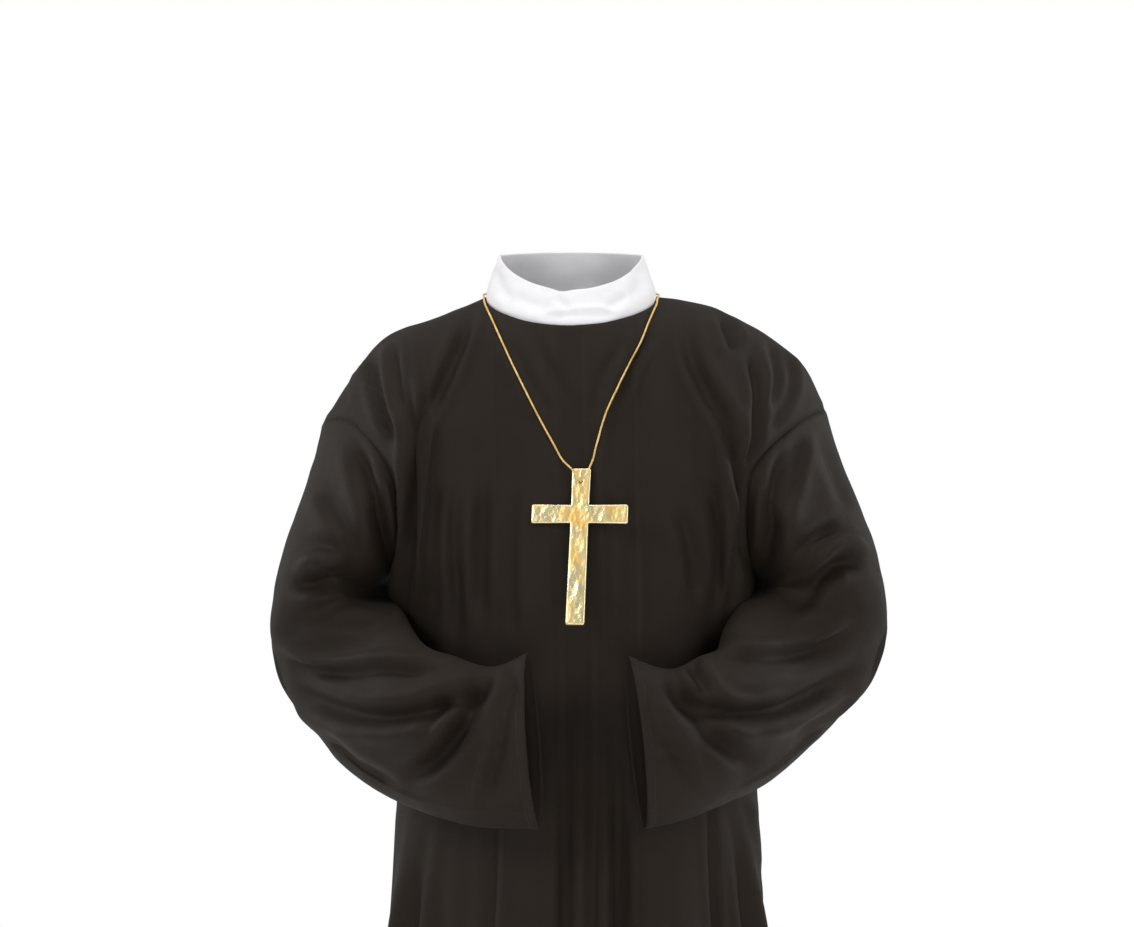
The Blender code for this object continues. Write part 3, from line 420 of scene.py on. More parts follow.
# %% Large folds
BODY_FOLD_COLUMNS = "x_top z_top x_bottom z_bottom half_width depth"
FRONT_FOLDS = (
    (-0.128, -0.080, -0.152, -0.440, 0.013, -0.0070),
    (-0.165, -0.150, -0.165, -0.420, 0.012, 0.0050),
    (-0.100, -0.060, -0.132, -0.300, 0.016, 0.0040),
    (0.118, -0.060, 0.168, -0.380, 0.014, 0.0045),
    (0.140, -0.130, 0.150, -0.420, 0.013, -0.0060),
    (0.045, -0.120, 0.022, -0.480, 0.020, 0.0030),
    (-0.160, -0.460, -0.172, -1.420, 0.020, 0.0100),
    (-0.115, -0.480, -0.125, -1.420, 0.024, -0.0120),
    (-0.066, -0.470, -0.070, -1.420, 0.026, 0.0080),
    (-0.020, -0.520, -0.022, -1.420, 0.022, -0.0080),
    (0.014, -0.430, 0.016, -1.420, 0.016, 0.0080),
    (0.062, -0.460, 0.068, -1.420, 0.018, -0.0130),
    (0.104, -0.470, 0.120, -1.420, 0.026, 0.0090),
    (0.142, -0.480, 0.165, -1.420, 0.016, -0.0090),
    (0.172, -0.460, 0.205, -1.420, 0.020, 0.0100),
)
BACK_FOLDS = (
    (-0.140, -0.120, -0.150, -0.420, 0.022, -0.0070),
    (-0.095, -0.120, -0.105, -0.420, 0.024, 0.0050),
    (0.100, -0.110, 0.110, -0.430, 0.024, 0.0055),
    (0.145, -0.120, 0.155, -0.420, 0.022, -0.0070),
    (-0.165, -0.420, -0.195, -1.420, 0.024, 0.0110),
    (-0.118, -0.400, -0.140, -1.420, 0.024, -0.0130),
    (-0.068, -0.350, -0.080, -1.420, 0.026, 0.0110),
    (-0.012, -0.420, -0.016, -1.420, 0.026, -0.0120),
    (0.044, -0.380, 0.052, -1.420, 0.024, 0.0110),
    (0.094, -0.440, 0.112, -1.420, 0.024, -0.0130),
    (0.150, -0.400, 0.182, -1.420, 0.028, 0.0120),
)
SLEEVE_FOLD_COLUMNS = "along_from turn_from along_to turn_to half_along half_turn depth"
SLEEVE_FOLDS = {
    -1: (
        (0.42, 60, 0.60, 130, 0.045, 30, -0.0060),
        (0.60, 20, 0.95, 120, 0.040, 26, -0.0060),
        (0.55, 40, 0.80, 100, 0.045, 26, 0.0050),
        (0.10, 60, 0.36, 110, 0.050, 24, -0.0050),
        (0.38, 270, 0.55, 250, 0.050, 40, -0.0060),
    ),
    1: (
        (0.40, 50, 0.60, 130, 0.045, 30, -0.0060),
        (0.62, 24, 0.92, 130, 0.040, 26, -0.0060),
        (0.52, 40, 0.80, 100, 0.045, 26, 0.0050),
        (0.10, 70, 0.34, 110, 0.050, 24, -0.0050),
        (0.40, 270, 0.56, 250, 0.050, 40, -0.0060),
    ),
}


def row_places():
    """Where each row of a panel lies among the solid's rows, from 0 at the top to 1 at the hem."""
    arm = np.linspace(0, CAD_ARM_ROWS, ARM_ROWS + 1)
    under = np.linspace(0, CAD_UNDERARM_ROWS, UNDERARM_ROWS + 1)[1:] + arm[-1]
    skirt = np.linspace(0, CAD_SKIRT_ROWS, SKIRT_ROWS + 1)[1:] + under[-1]
    places = np.concatenate([arm, under, skirt])
    return places / places[-1]


def body_folds(grid, facing):
    x, z = grid[..., 0], grid[..., 2]
    moved = np.zeros_like(x)
    for x0, z0, x1, z1, half, depth in FRONT_FOLDS if facing < 0 else BACK_FOLDS:
        along = (z - z0) / (z1 - z0)
        wider = 1 + 0.5 * np.clip(along, 0, 1)
        across = bump(x - x0 - (x1 - x0) * np.clip(along, -0.2, 1.2), half * wider)
        moved += depth * wider * across * ease(along, -0.02, 0.30) * (1 - ease(along, 0.80, 1.02))
    from_seam = 1 - ease(np.abs(shares()), 0.93, 1.0)[None, :]
    return moved * from_seam * ease(row_places(), 0.0, 0.16)[:, None]


def sleeve_folds(side):
    along = np.linspace(0, 1, SLEEVE_ROWS + 1)[:, None]
    turn = sleeve_turns()
    moved = np.zeros((SLEEVE_ROWS + 1, SLEEVE_COLUMNS))
    for a0, t0, a1, t1, half_along, half_turn, depth in SLEEVE_FOLDS[side]:
        part = ((along - a0) * (a1 - a0) / half_along**2 + (turn - t0) * (t1 - t0) / half_turn**2) / (
            ((a1 - a0) / half_along) ** 2 + ((t1 - t0) / half_turn) ** 2
        )
        part = np.clip(part, 0, 1)
        off = (turn - t0 - part * (t1 - t0) + 180) % 360 - 180
        moved += depth * np.exp(-((along - a0 - part * (a1 - a0)) / half_along) ** 2 - (off / half_turn) ** 2)
    return moved * ease(along, 0.0, 0.10) * (1 - 0.6 * ease(along, 0.9, 1.0))


# %% [markdown]
# ## The creases
# The eye knows cloth by its uneven creases. A simulation would put them in places of its own, so
# each crease of the photograph is laid along a short line of picture pixels: a trough or a
# ridge with a depth in millimetres, or a lap, whose one side stands up and whose other side sinks.
# The back has creases of the same kind, as such a robe shows when it hangs from the shoulders.

# %% The creases, piece by piece: kind, depth in mm, half width in pixels, places in the picture
CREASES = {
    "robe_front": (
        ("trough", 6.0, 6, (402, 362), (408, 395), (413, 430), (411, 480), (407, 540), (402, 600), (405, 645)),
        ("trough", 4.0, 5, (427, 372), (421, 430), (416, 490), (413, 560), (414, 610)),
        ("ridge", 2.0, 5, (412, 372), (417, 430), (413, 500), (409, 560)),
        ("lap", 3.0, 7, (481, 300), (470, 340), (456, 375), (440, 405), (425, 440), (420, 480)),
        ("trough", 2.5, 5, (470, 315), (455, 352), (440, 385), (428, 412)),
        ("trough", 3.5, 5, (370, 340), (375, 380), (384, 415), (397, 450)),
        ("trough", 2.5, 4, (394, 340), (397, 385), (402, 420)),
        ("lap", 3.0, 6, (352, 362), (349, 385), (350, 408)),
        ("trough", 4.0, 7, (686, 303), (690, 350), (706, 388), (728, 425), (737, 470), (742, 520), (740, 580),
         (737, 635)),
        ("trough", 3.5, 5, (747, 345), (758, 385), (757, 430), (750, 470)),
        ("lap", 3.5, 6, (783, 340), (795, 378), (786, 412), (768, 440)),
        ("trough", 2.5, 5, (768, 335), (778, 375), (770, 415)),
        ("trough", 6.0, 6, (755, 430), (750, 500), (755, 555), (763, 612)),
        ("lap", 3.5, 7, (725, 480), (740, 530), (736, 590), (728, 640)),
        ("trough", 3.0, 6, (707, 475), (717, 520), (720, 560), (716, 615)),
        ("trough", 2.5, 7, (680, 505), (693, 560), (697, 605)),
        ("trough", 4.0, 5, (736, 440), (745, 500), (748, 560), (752, 612)),
        ("trough", 3.5, 6, (721, 310), (729, 330), (738, 352)),
        ("lap", 3.0, 8, (644, 326), (617, 362), (602, 405), (594, 450), (592, 520)),
        ("trough", 2.0, 5, (655, 322), (632, 365), (617, 410)),
        ("trough", 1.6, 8, (530, 326), (548, 368), (572, 410), (590, 455)),
        ("trough", 1.3, 7, (508, 330), (530, 378), (560, 428)),
        ("trough", 2.8, 8, (455, 480), (452, 540), (455, 600), (452, 650)),
        ("trough", 2.4, 6, (438, 470), (434, 540), (436, 625)),
        ("trough", 2.6, 7, (484, 470), (481, 540), (479, 630)),
        ("lap", 2.6, 7, (518, 485), (516, 560), (517, 645)),
        ("trough", 2.4, 6, (612, 480), (614, 560), (616, 640)),
        ("trough", 2.4, 6, (626, 500), (628, 580), (630, 645)),
        ("ridge", 6.0, 6, (412, 800), (404, 870), (400, 927), (390, 1200), (374, 1640)),
        ("trough", 4.0, 6, (437, 800), (424, 850), (412, 927), (404, 1100), (396, 1500)),
        ("lap", 5.0, 9, (501, 740), (499, 850), (496, 927), (492, 1200), (488, 1640)),
        ("trough", 4.0, 6, (569, 670), (567, 800), (566, 927), (563, 1200), (560, 1640)),
        ("ridge", 4.5, 7, (580, 670), (581, 800), (581, 927), (580, 1200), (582, 1640)),
        ("trough", 4.0, 6, (594, 690), (593, 800), (592, 927), (594, 1200), (598, 1640)),
        ("lap", 9.0, 9, (616, 690), (624, 800), (628, 927), (634, 1200), (642, 1640)),
        ("trough", 3.0, 4, (706, 740), (712, 850), (716, 927), (724, 1200), (736, 1640)),
        ("trough", 4.0, 5, (722, 780), (737, 850), (748, 925), (764, 1200), (784, 1640)),
        ("ridge", 5.0, 5, (735, 790), (747, 845), (755, 905), (764, 960), (784, 1250), (800, 1600)),
        ("ridge", 3.0, 5, (747, 790), (755, 830), (763, 880)),
        ("ridge", 2.0, 10, (460, 760), (455, 900), (446, 1200), (436, 1640)),
        ("trough", 2.5, 10, (660, 900), (668, 1100), (680, 1640)),
        ("trough", 2.0, 9, (535, 950), (530, 1200), (524, 1640)),
    ),
    "robe_back": (
        ("lap", 4.0, 10, (470, 300), (448, 370), (428, 440), (418, 530), (414, 640)),
        ("lap", 4.0, 10, (668, 300), (690, 370), (712, 440), (722, 530), (726, 640)),
        ("trough", 3.0, 8, (520, 290), (505, 370), (498, 480), (494, 640)),
        ("trough", 3.0, 9, (620, 290), (634, 380), (642, 480), (648, 640)),
        ("trough", 2.5, 12, (568, 300), (562, 400), (558, 520), (556, 700)),
        ("trough", 3.0, 6, (380, 350), (396, 400), (406, 450)),
        ("trough", 3.0, 6, (766, 350), (748, 400), (738, 450)),
        ("lap", 5.0, 9, (460, 620), (452, 900), (444, 1200), (430, 1640)),
        ("lap", 5.0, 9, (536, 700), (530, 900), (524, 1200), (516, 1640)),
        ("trough", 4.0, 8, (592, 660), (594, 900), (600, 1200), (606, 1640)),
        ("lap", 6.0, 9, (650, 640), (660, 900), (670, 1200), (684, 1640)),
        ("trough", 4.0, 7, (712, 600), (724, 900), (738, 1200), (756, 1640)),
        ("ridge", 4.0, 7, (410, 640), (400, 900), (388, 1200), (372, 1640)),
        ("ridge", 3.0, 8, (750, 700), (766, 1000), (790, 1500)),
    ),
    "sleeve_right": (
        ("trough", 5.0, 8, (352, 432), (366, 480), (381, 520), (392, 560), (402, 596)),
        ("trough", 3.0, 8, (320, 478), (334, 508), (350, 540), (373, 575)),
        ("ridge", 5.0, 8, (292, 572), (318, 560), (344, 561), (368, 578), (384, 600)),
        ("trough", 6.0, 7, (288, 586), (320, 583), (344, 580), (362, 597), (366, 612)),
        ("trough", 5.0, 8, (302, 545), (326, 548), (352, 562), (378, 596), (396, 626)),
        ("trough", 2.5, 5, (330, 618), (352, 623), (374, 620)),
        ("lap", 6.0, 8, (274, 645), (300, 661), (338, 667), (380, 663), (424, 664), (446, 652)),
        ("trough", 6.0, 9, (283, 675), (325, 705), (365, 716), (405, 715), (445, 704), (478, 689), (493, 674)),
        ("trough", 6.0, 9, (398, 784), (434, 761), (459, 730), (478, 694), (496, 667)),
        ("lap", 5.0, 8, (478, 812), (489, 762), (501, 715), (508, 668)),
        ("trough", 3.0, 5, (508, 658), (512, 678), (517, 700)),
        ("ridge", 3.0, 9, (512, 690), (516, 750), (518, 810)),
        ("trough", 3.0, 8, (316, 730), (356, 768), (400, 790)),
        ("trough", 2.5, 7, (420, 740), (436, 716), (446, 690)),
    ),
    "sleeve_left": (
        ("ridge", 6.0, 9, (874, 552), (842, 543), (814, 558), (788, 588), (766, 613)),
        ("trough", 6.0, 8, (868, 568), (842, 562), (820, 577), (797, 604), (776, 624)),
        ("trough", 4.0, 7, (852, 528), (826, 534), (802, 558), (781, 588)),
        ("lap", 4.0, 8, (806, 424), (800, 470), (786, 520), (774, 562)),
        ("trough", 3.0, 8, (822, 430), (836, 472), (852, 512)),
        ("trough", 4.0, 7, (788, 442), (775, 490), (768, 540), (765, 584)),
        ("trough", 4.0, 6, (688, 660), (699, 679), (711, 697)),
        ("lap", 5.0, 8, (708, 653), (755, 652), (806, 646), (860, 620)),
        ("trough", 7.0, 9, (672, 678), (699, 704), (735, 713), (780, 709), (816, 694), (868, 662)),
        ("trough", 5.0, 9, (663, 678), (694, 715), (725, 745), (758, 770)),
        ("lap", 4.0, 8, (650, 676), (660, 715), (684, 755), (703, 790)),
        ("trough", 2.5, 6, (718, 690), (755, 694), (802, 683)),
        ("trough", 3.0, 8, (790, 740), (826, 716), (862, 690)),
    ),
    "sleeve_right_back": (
        ("trough", 5.0, 10, (300, 560), (330, 575), (366, 590), (392, 610)),
        ("lap", 4.0, 10, (298, 500), (330, 530), (360, 545), (388, 550)),
        ("trough", 4.0, 9, (312, 620), (350, 640), (392, 650), (430, 640)),
        ("trough", 3.0, 9, (345, 425), (352, 470), (366, 520)),
        ("trough", 3.0, 10, (330, 690), (380, 700), (440, 690)),
        ("trough", 3.0, 10, (420, 780), (450, 740), (470, 700)),
    ),
    "sleeve_left_back": (
        ("trough", 5.0, 10, (862, 545), (830, 566), (792, 582), (768, 600)),
        ("lap", 4.0, 10, (858, 490), (826, 520), (796, 538), (770, 542)),
        ("trough", 4.0, 9, (846, 612), (808, 634), (766, 640), (730, 634)),
        ("trough", 3.0, 9, (806, 425), (800, 470), (790, 515)),
        ("trough", 3.0, 10, (820, 690), (776, 696), (716, 686)),
        ("trough", 3.0, 10, (736, 780), (706, 740), (690, 700)),
    ),
}
CREASE_SAMPLES = 48
CREASE_GAIN = 2.6
SHOULDERS_OF_A_TROUGH = 0.35


def crease_heights(grid, normals, creases, towards):
    """How far each point moves outwards for the creases of the side that faces towards (-1 front, 1 back)."""
    places = seen(grid)
    moved = np.zeros(grid.shape[:2])
    for kind, depth, width, *line in creases:
        line = np.array(line, float)
        steps = lengths(line) / lengths(line)[-1]
        curve = flow(steps, line, np.linspace(0, 1, CREASE_SAMPLES))
        low, high = curve.min(axis=0) - 4 * width, curve.max(axis=0) + 4 * width
        near = np.all((places > low) & (places < high), axis=-1)
        if not near.any():
            continue
        apart = places[near][:, None, :] - curve[None]
        nearest = np.linalg.norm(apart, axis=2).argmin(axis=1)
        step = np.gradient(curve, axis=0)[nearest]
        offset = apart[np.arange(len(nearest)), nearest]
        across = (step[:, 0] * offset[:, 1] - step[:, 1] * offset[:, 0]) / np.linalg.norm(step, axis=1) / width
        ahead = np.sum(step * offset, axis=1) / np.sum(step**2, axis=1)
        part = np.clip((nearest + ahead) / (CREASE_SAMPLES - 1), 0, 1)
        fade = ease(part, 0, 0.25) * (1 - ease(part, 0.75, 1)) * 0.85 + 0.15 * bump(part - 0.5, 0.4)
        if kind == "trough":
            shape = -np.exp(-(across**2)) + SHOULDERS_OF_A_TROUGH * np.exp(-((np.abs(across) - 2) ** 2))
        elif kind == "ridge":
            shape = np.exp(-(across**2))
        else:
            shape = 1.2 * across * np.exp(-(across**2)) * -1
        moved[near] += CREASE_GAIN * depth / 1000 * shape * fade
    facing = np.clip(towards * normals[..., 1], 0, 1)
    return moved * ease(facing, 0.0, 0.45)


# %% [markdown]
# ## Cloth as a thin shell
# Each piece of cloth is a grid. It gets an inner face 1 mm behind the outer one, so cuffs, hem and
# neckline show a real edge, and the inside is finished too. Points that meet at a seam share one
# normal, which keeps the seams closed. The UV map is in metres, for the weave.

# %% Shell and seams
CLOTH_WALL = 0.0010
SEAM_REACH = 0.016


def grid_normals(grid, closed):
    down = np.gradient(grid, axis=0)
    if closed:
        across = (np.roll(grid, -1, axis=1) - np.roll(grid, 1, axis=1)) / 2
    else:
        across = np.gradient(grid, axis=1)
    return unit(np.cross(down, across))


class Cloth:
    """One piece of cloth: the grid of its outer face and whether it closes on itself sideways."""

    def __init__(self, name, grid, closed, folds):
        self.name, self.closed = name, closed
        normals = grid_normals(grid, closed)
        self.grid = grid + normals * folds[..., None]
        self.normals = grid_normals(self.grid, closed)


def share_normals(cloths):
    sums = {}
    for cloth in cloths:
        for point, normal in zip(cloth.grid.reshape(-1, 3), cloth.normals.reshape(-1, 3)):
            sums.setdefault(tuple(np.round(point, 5)), []).append(normal)
    for cloth in cloths:
        flat = cloth.grid.reshape(-1, 3)
        shared = np.array([np.sum(sums[tuple(np.round(point, 5))], axis=0) for point in flat])
        cloth.normals = unit(shared).reshape(cloth.grid.shape)


def edge_distances(cloth, rows_to_seam, columns_to_seam):
    """Metres from each point to the nearest of the piece's sewn edges."""
    down = np.linalg.norm(np.diff(cloth.grid, axis=0), axis=2)
    down = np.concatenate([np.zeros((1, down.shape[1])), np.cumsum(down, axis=0)])
    far = np.full(cloth.grid.shape[:2], 9.0)
    if rows_to_seam:
        far = np.minimum(far, down)
    if columns_to_seam:
        across = np.linalg.norm(np.diff(cloth.grid, axis=1), axis=2)
        across = np.concatenate([np.zeros((across.shape[0], 1)), np.cumsum(across, axis=1)], axis=1)
        far = np.minimum(far, np.minimum(across, across[:, -1:] - across))
    return far


def to_edge(cloth):
    """Metres from each point to the piece's last row, which is its hem."""
    down = np.linalg.norm(np.diff(cloth.grid, axis=0), axis=2)
    down = np.concatenate([np.zeros((1, down.shape[1])), np.cumsum(down, axis=0)])
    return down[-1:] - down


def add_mesh(name, points, faces, material, uvs=None, smooth=True):
    mesh = bpy.data.meshes.new(name)
    mesh.from_pydata([tuple(point) for point in points], [], faces)
    if uvs is not None:
        layer = mesh.uv_layers.new(name="cloth")
        corners = np.zeros(len(mesh.loops), int)
        mesh.loops.foreach_get("vertex_index", corners)
        layer.data.foreach_set("uv", np.asarray(uvs, float)[corners].ravel())
    mesh.polygons.foreach_set("use_smooth", [smooth] * len(mesh.polygons))
    mesh.materials.append(material)
    thing = bpy.data.objects.new(name, mesh)
    bpy.context.scene.collection.objects.link(thing)
    return thing


def shell(cloth, wall, material):
    """A closed mesh with an even wall on the inside of the outer face."""
    rows, columns = cloth.grid.shape[:2]
    count = rows * columns
    inner = cloth.grid - cloth.normals * wall
    points = np.concatenate([cloth.grid.reshape(-1, 3), inner.reshape(-1, 3)])
    row, column = np.meshgrid(np.arange(rows - 1), np.arange(columns if cloth.closed else columns - 1), indexing="ij")
    a = (row * columns + column).ravel()
    b = (row * columns + (column + 1) % columns).ravel()
    outer_faces = np.stack([a, a + columns, b + columns, b], axis=1)
    inner_faces = np.stack([a, b, b + columns, a + columns], axis=1) + count
    faces = outer_faces.tolist() + inner_faces.tolist()
    around = columns if cloth.closed else columns - 1
    for edge, order in ((0, 1), ((rows - 1) * columns, -1)):
        for step in range(around):
            p, q = edge + step, edge + (step + 1) % columns
            faces.append([p, q, q + count, p + count][::order])
    if not cloth.closed:
        for step in range(rows - 1):
            for column, order in ((0, -1), (columns - 1, 1)):
                p = step * columns + column
                q = p + columns
                faces.append([p, q, q + count, p + count][::order])
    middle = cloth.grid[:, columns // 2]
    v = np.broadcast_to(lengths(middle)[:, None], (rows, columns))
    ring = cloth.grid[rows * 2 // 3]
    u = np.broadcast_to(lengths(ring)[None, :], (rows, columns))
    uv = np.stack([u, v], axis=-1).reshape(-1, 2)
    return add_mesh(cloth.name + "_cloth", points, faces, material, np.concatenate([uv, uv]))


# %% [markdown]
# ## Materials
# One node group makes the fine weave: two crossed waves, a little uneven, that give a height for
# the bump and a mask for the colour. A second one makes soft unevenness, for dust, wear and
# handling. Each material places them with its own sizes.


# %% Node helpers
def group(name, inputs, outputs):
    tree = bpy.data.node_groups.new(name, "ShaderNodeTree")
    for label, kind, value in inputs:
        socket = tree.interface.new_socket(label, in_out="INPUT", socket_type=kind)
        if value is not None:
            socket.default_value = value
    for label, kind in outputs:
        tree.interface.new_socket(label, in_out="OUTPUT", socket_type=kind)
    return tree, tree.nodes.new("NodeGroupInput"), tree.nodes.new("NodeGroupOutput")


def maths(tree, operation, first, second=None, third=None):
    node = tree.nodes.new("ShaderNodeMath")
    node.operation = operation
    for socket, value in zip(node.inputs, (first, second, third)):
        if isinstance(value, (int, float)):
            socket.default_value = value
        elif value is not None:
            tree.links.new(value, socket)
    return node.outputs[0]


def noise(tree, vector, scale, detail=2.0, roughness=0.5):
    node = tree.nodes.new("ShaderNodeTexNoise")
    node.inputs["Detail"].default_value = detail
    node.inputs["Roughness"].default_value = roughness
    tree.links.new(vector, node.inputs["Vector"])
    if isinstance(scale, (int, float)):
        node.inputs["Scale"].default_value = scale
    else:
        tree.links.new(scale, node.inputs["Scale"])
    return node


def mix_colours(tree, factor, first, second):
    node = tree.nodes.new("ShaderNodeMix")
    node.data_type = "RGBA"
    tree.links.new(factor, node.inputs["Factor"])
    for socket, value in ((node.inputs["A"], first), (node.inputs["B"], second)):
        if isinstance(value, tuple):
            socket.default_value = (*value, 1)
        else:
            tree.links.new(value, socket)
    return node.outputs["Result"]


# %% The weave group
weave_group, given, out = group(
    "weave",
    [("Vector", "NodeSocketVector", None), ("Threads per metre", "NodeSocketFloat", 1500.0)],
    [("Height", "NodeSocketFloat"), ("Mask", "NodeSocketFloat")],
)
apart = weave_group.nodes.new("ShaderNodeSeparateXYZ")
weave_group.links.new(given.outputs["Vector"], apart.inputs[0])
wobble = noise(weave_group, given.outputs["Vector"], 300.0)
threads = []
for axis in ("X", "Y"):
    turns = maths(weave_group, "MULTIPLY", apart.outputs[axis], given.outputs["Threads per metre"])
    turns = maths(weave_group, "ADD", turns, wobble.outputs["Fac"])
    threads.append(maths(weave_group, "SINE", maths(weave_group, "MULTIPLY", turns, 2 * math.pi)))
crossed = maths(weave_group, "MULTIPLY", threads[0], threads[1])
height = maths(weave_group, "MULTIPLY_ADD", crossed, 0.5, 0.5)
weave_group.links.new(height, out.inputs["Height"])
weave_group.links.new(maths(weave_group, "MULTIPLY", height, wobble.outputs["Fac"]), out.inputs["Mask"])

# %% The unevenness group
uneven_group, given, out = group(
    "unevenness",
    [("Vector", "NodeSocketVector", None), ("Coarse scale", "NodeSocketFloat", 9.0),
     ("Fine scale", "NodeSocketFloat", 60.0)],
    [("Height", "NodeSocketFloat"), ("Mask", "NodeSocketFloat")],
)
coarse = noise(uneven_group, given.outputs["Vector"], given.outputs["Coarse scale"], 3.0)
fine = noise(uneven_group, given.outputs["Vector"], given.outputs["Fine scale"], 4.0)
total = maths(uneven_group, "MULTIPLY_ADD", fine.outputs["Fac"], 0.3, maths(
    uneven_group, "MULTIPLY", coarse.outputs["Fac"], 0.7))
uneven_group.links.new(total, out.inputs["Height"])
spread = uneven_group.nodes.new("ShaderNodeMapRange")
spread.inputs["From Min"].default_value = 0.38
spread.inputs["From Max"].default_value = 0.62
uneven_group.links.new(total, spread.inputs["Value"])
uneven_group.links.new(spread.outputs["Result"], out.inputs["Mask"])


# %% [markdown]
# The black cloth is smooth thin polyester. It is never quite black: its threads catch light at a
# glancing angle, which the shader's sheen gives, and it is a little brown. The white collar is
# the same kind of cloth, stiffened, so it has less sheen and small flat dents.


# %% Cloth materials
def cloth_material(name, dark, light, roughness, sheen, threads_per_metre, weave_depth, dent_depth):
    material = bpy.data.materials.new(name)
    material.use_nodes = True
    tree = material.node_tree
    shader = tree.nodes["Principled BSDF"]
    places = tree.nodes.new("ShaderNodeTexCoord")
    weave = tree.nodes.new("ShaderNodeGroup")
    weave.node_tree = weave_group
    weave.inputs["Threads per metre"].default_value = threads_per_metre
    tree.links.new(places.outputs["UV"], weave.inputs["Vector"])
    uneven = tree.nodes.new("ShaderNodeGroup")
    uneven.node_tree = uneven_group
    tree.links.new(places.outputs["Object"], uneven.inputs["Vector"])
    colour = mix_colours(tree, uneven.outputs["Mask"], dark, light)
    woven = mix_colours(tree, weave.outputs["Mask"], colour, light)
    tree.links.new(woven, shader.inputs["Base Color"])
    rough = tree.nodes.new("ShaderNodeMapRange")
    rough.inputs["To Min"].default_value = roughness - 0.06
    rough.inputs["To Max"].default_value = roughness + 0.06
    tree.links.new(uneven.outputs["Mask"], rough.inputs["Value"])
    tree.links.new(rough.outputs["Result"], shader.inputs["Roughness"])
    shader.inputs["Sheen Weight"].default_value = sheen
    shader.inputs["Sheen Roughness"].default_value = 0.45
    shader.inputs["Specular IOR Level"].default_value = 0.14
    dents = tree.nodes.new("ShaderNodeBump")
    dents.inputs["Distance"].default_value = dent_depth
    tree.links.new(uneven.outputs["Height"], dents.inputs["Height"])
    cloth_bump = tree.nodes.new("ShaderNodeBump")
    cloth_bump.inputs["Distance"].default_value = weave_depth
    tree.links.new(weave.outputs["Height"], cloth_bump.inputs["Height"])
    tree.links.new(dents.outputs["Normal"], cloth_bump.inputs["Normal"])
    tree.links.new(cloth_bump.outputs["Normal"], shader.inputs["Normal"])
    return material


black_cloth = cloth_material(
    "black_polyester", (0.0125, 0.0084, 0.0052), (0.0180, 0.0126, 0.0082), 0.60, 0.02, 1400.0, 0.00010, 0.0015
)
white_cloth = cloth_material(
    "white_stiffened_cloth", (0.80, 0.79, 0.81), (0.88, 0.87, 0.885), 0.75, 0.05, 1600.0, 0.00008, 0.003
)
black_thread = cloth_material(
    "black_thread", (0.016, 0.013, 0.011), (0.030, 0.025, 0.021), 0.5, 0.2, 3000.0, 0.00005, 0.001
)

# %% [markdown]
# ## The robe
# The folds and the creases go onto the finely divided panels. Near a seam the creases die out,
# because the seam's own threads hold the cloth there, and a shallow groove marks the seam. The
# edges of the hem and the cuffs are turned in twice, so they are a little thicker, up to the line
# of the stitches.

# %% Build the four pieces of black cloth
HEM_TURN, CUFF_TURN, TURN_STEP = 0.020, 0.0085, 0.0007
SEAM_GROOVE, SEAM_GROOVE_WIDTH = 0.0009, 0.0030
RIPPLE = 0.0010

front_grid, back_grid = panel(-1), panel(1)[:, ::-1]
robe_front = Cloth("robe_front", front_grid, False, body_folds(front_grid, -1))
robe_back = Cloth("robe_back", back_grid, False, body_folds(back_grid, 1))
sleeves = {}
for name, side in (("sleeve_right", -1), ("sleeve_left", 1)):
    grid, folds = sleeve(side), sleeve_folds(side)
    if side > 0:
        grid, folds = grid[:, ::-1], folds[:, ::-1]
    sleeves[name] = Cloth(name, grid, True, folds)
cloths = [robe_front, robe_back, *sleeves.values()]
share_normals(cloths)


ELBOW_PRESSES = {-1: (386, 586), 1: (760, 583)}
PRESS_WIDTH, PRESS_HEIGHT, SLEEVE_PRESS, ROBE_PRESS = 20, 30, 0.0095, 0.0045


def press_at_elbows(cloth):
    """In the crook of each arm the sleeve and the robe's side lie against each other."""
    places = seen(cloth.grid)
    for side, (across, down) in ELBOW_PRESSES.items():
        if cloth.name.startswith("sleeve") and side != (-1 if cloth.name == "sleeve_right" else 1):
            continue
        near = bump(places[..., 0] - across, PRESS_WIDTH) * bump(places[..., 1] - down, PRESS_HEIGHT)
        outwards = side * cloth.normals[..., 0]
        if cloth.name.startswith("sleeve"):
            cloth.grid[..., 0] -= side * SLEEVE_PRESS * near * ease(-outwards, -0.4, 0.3)
        else:
            cloth.grid[..., 0] += side * ROBE_PRESS * near * ease(outwards, -0.1, 0.5)


def calm_the_crook(cloth, rounds=60):
    """Smooth a sleeve inside its bend, where creases from all sides would meet and tangle."""
    side = -1 if cloth.name == "sleeve_right" else 1
    across, down = ELBOW_PRESSES[side]
    places = seen(cloth.grid)
    near = bump(places[..., 0] - across - 12 * side, 34) * bump(places[..., 1] - down, 30)
    near = (near * ease(np.arange(len(near)), 0, 14)[:, None])[1:-1, :, None]
    for _ in range(rounds):
        grid = cloth.grid
        beside = (np.roll(grid, 1, axis=1) + np.roll(grid, -1, axis=1))[1:-1]
        grid[1:-1] += 0.6 * near * ((beside + grid[:-2] + grid[2:]) / 4 - grid[1:-1])


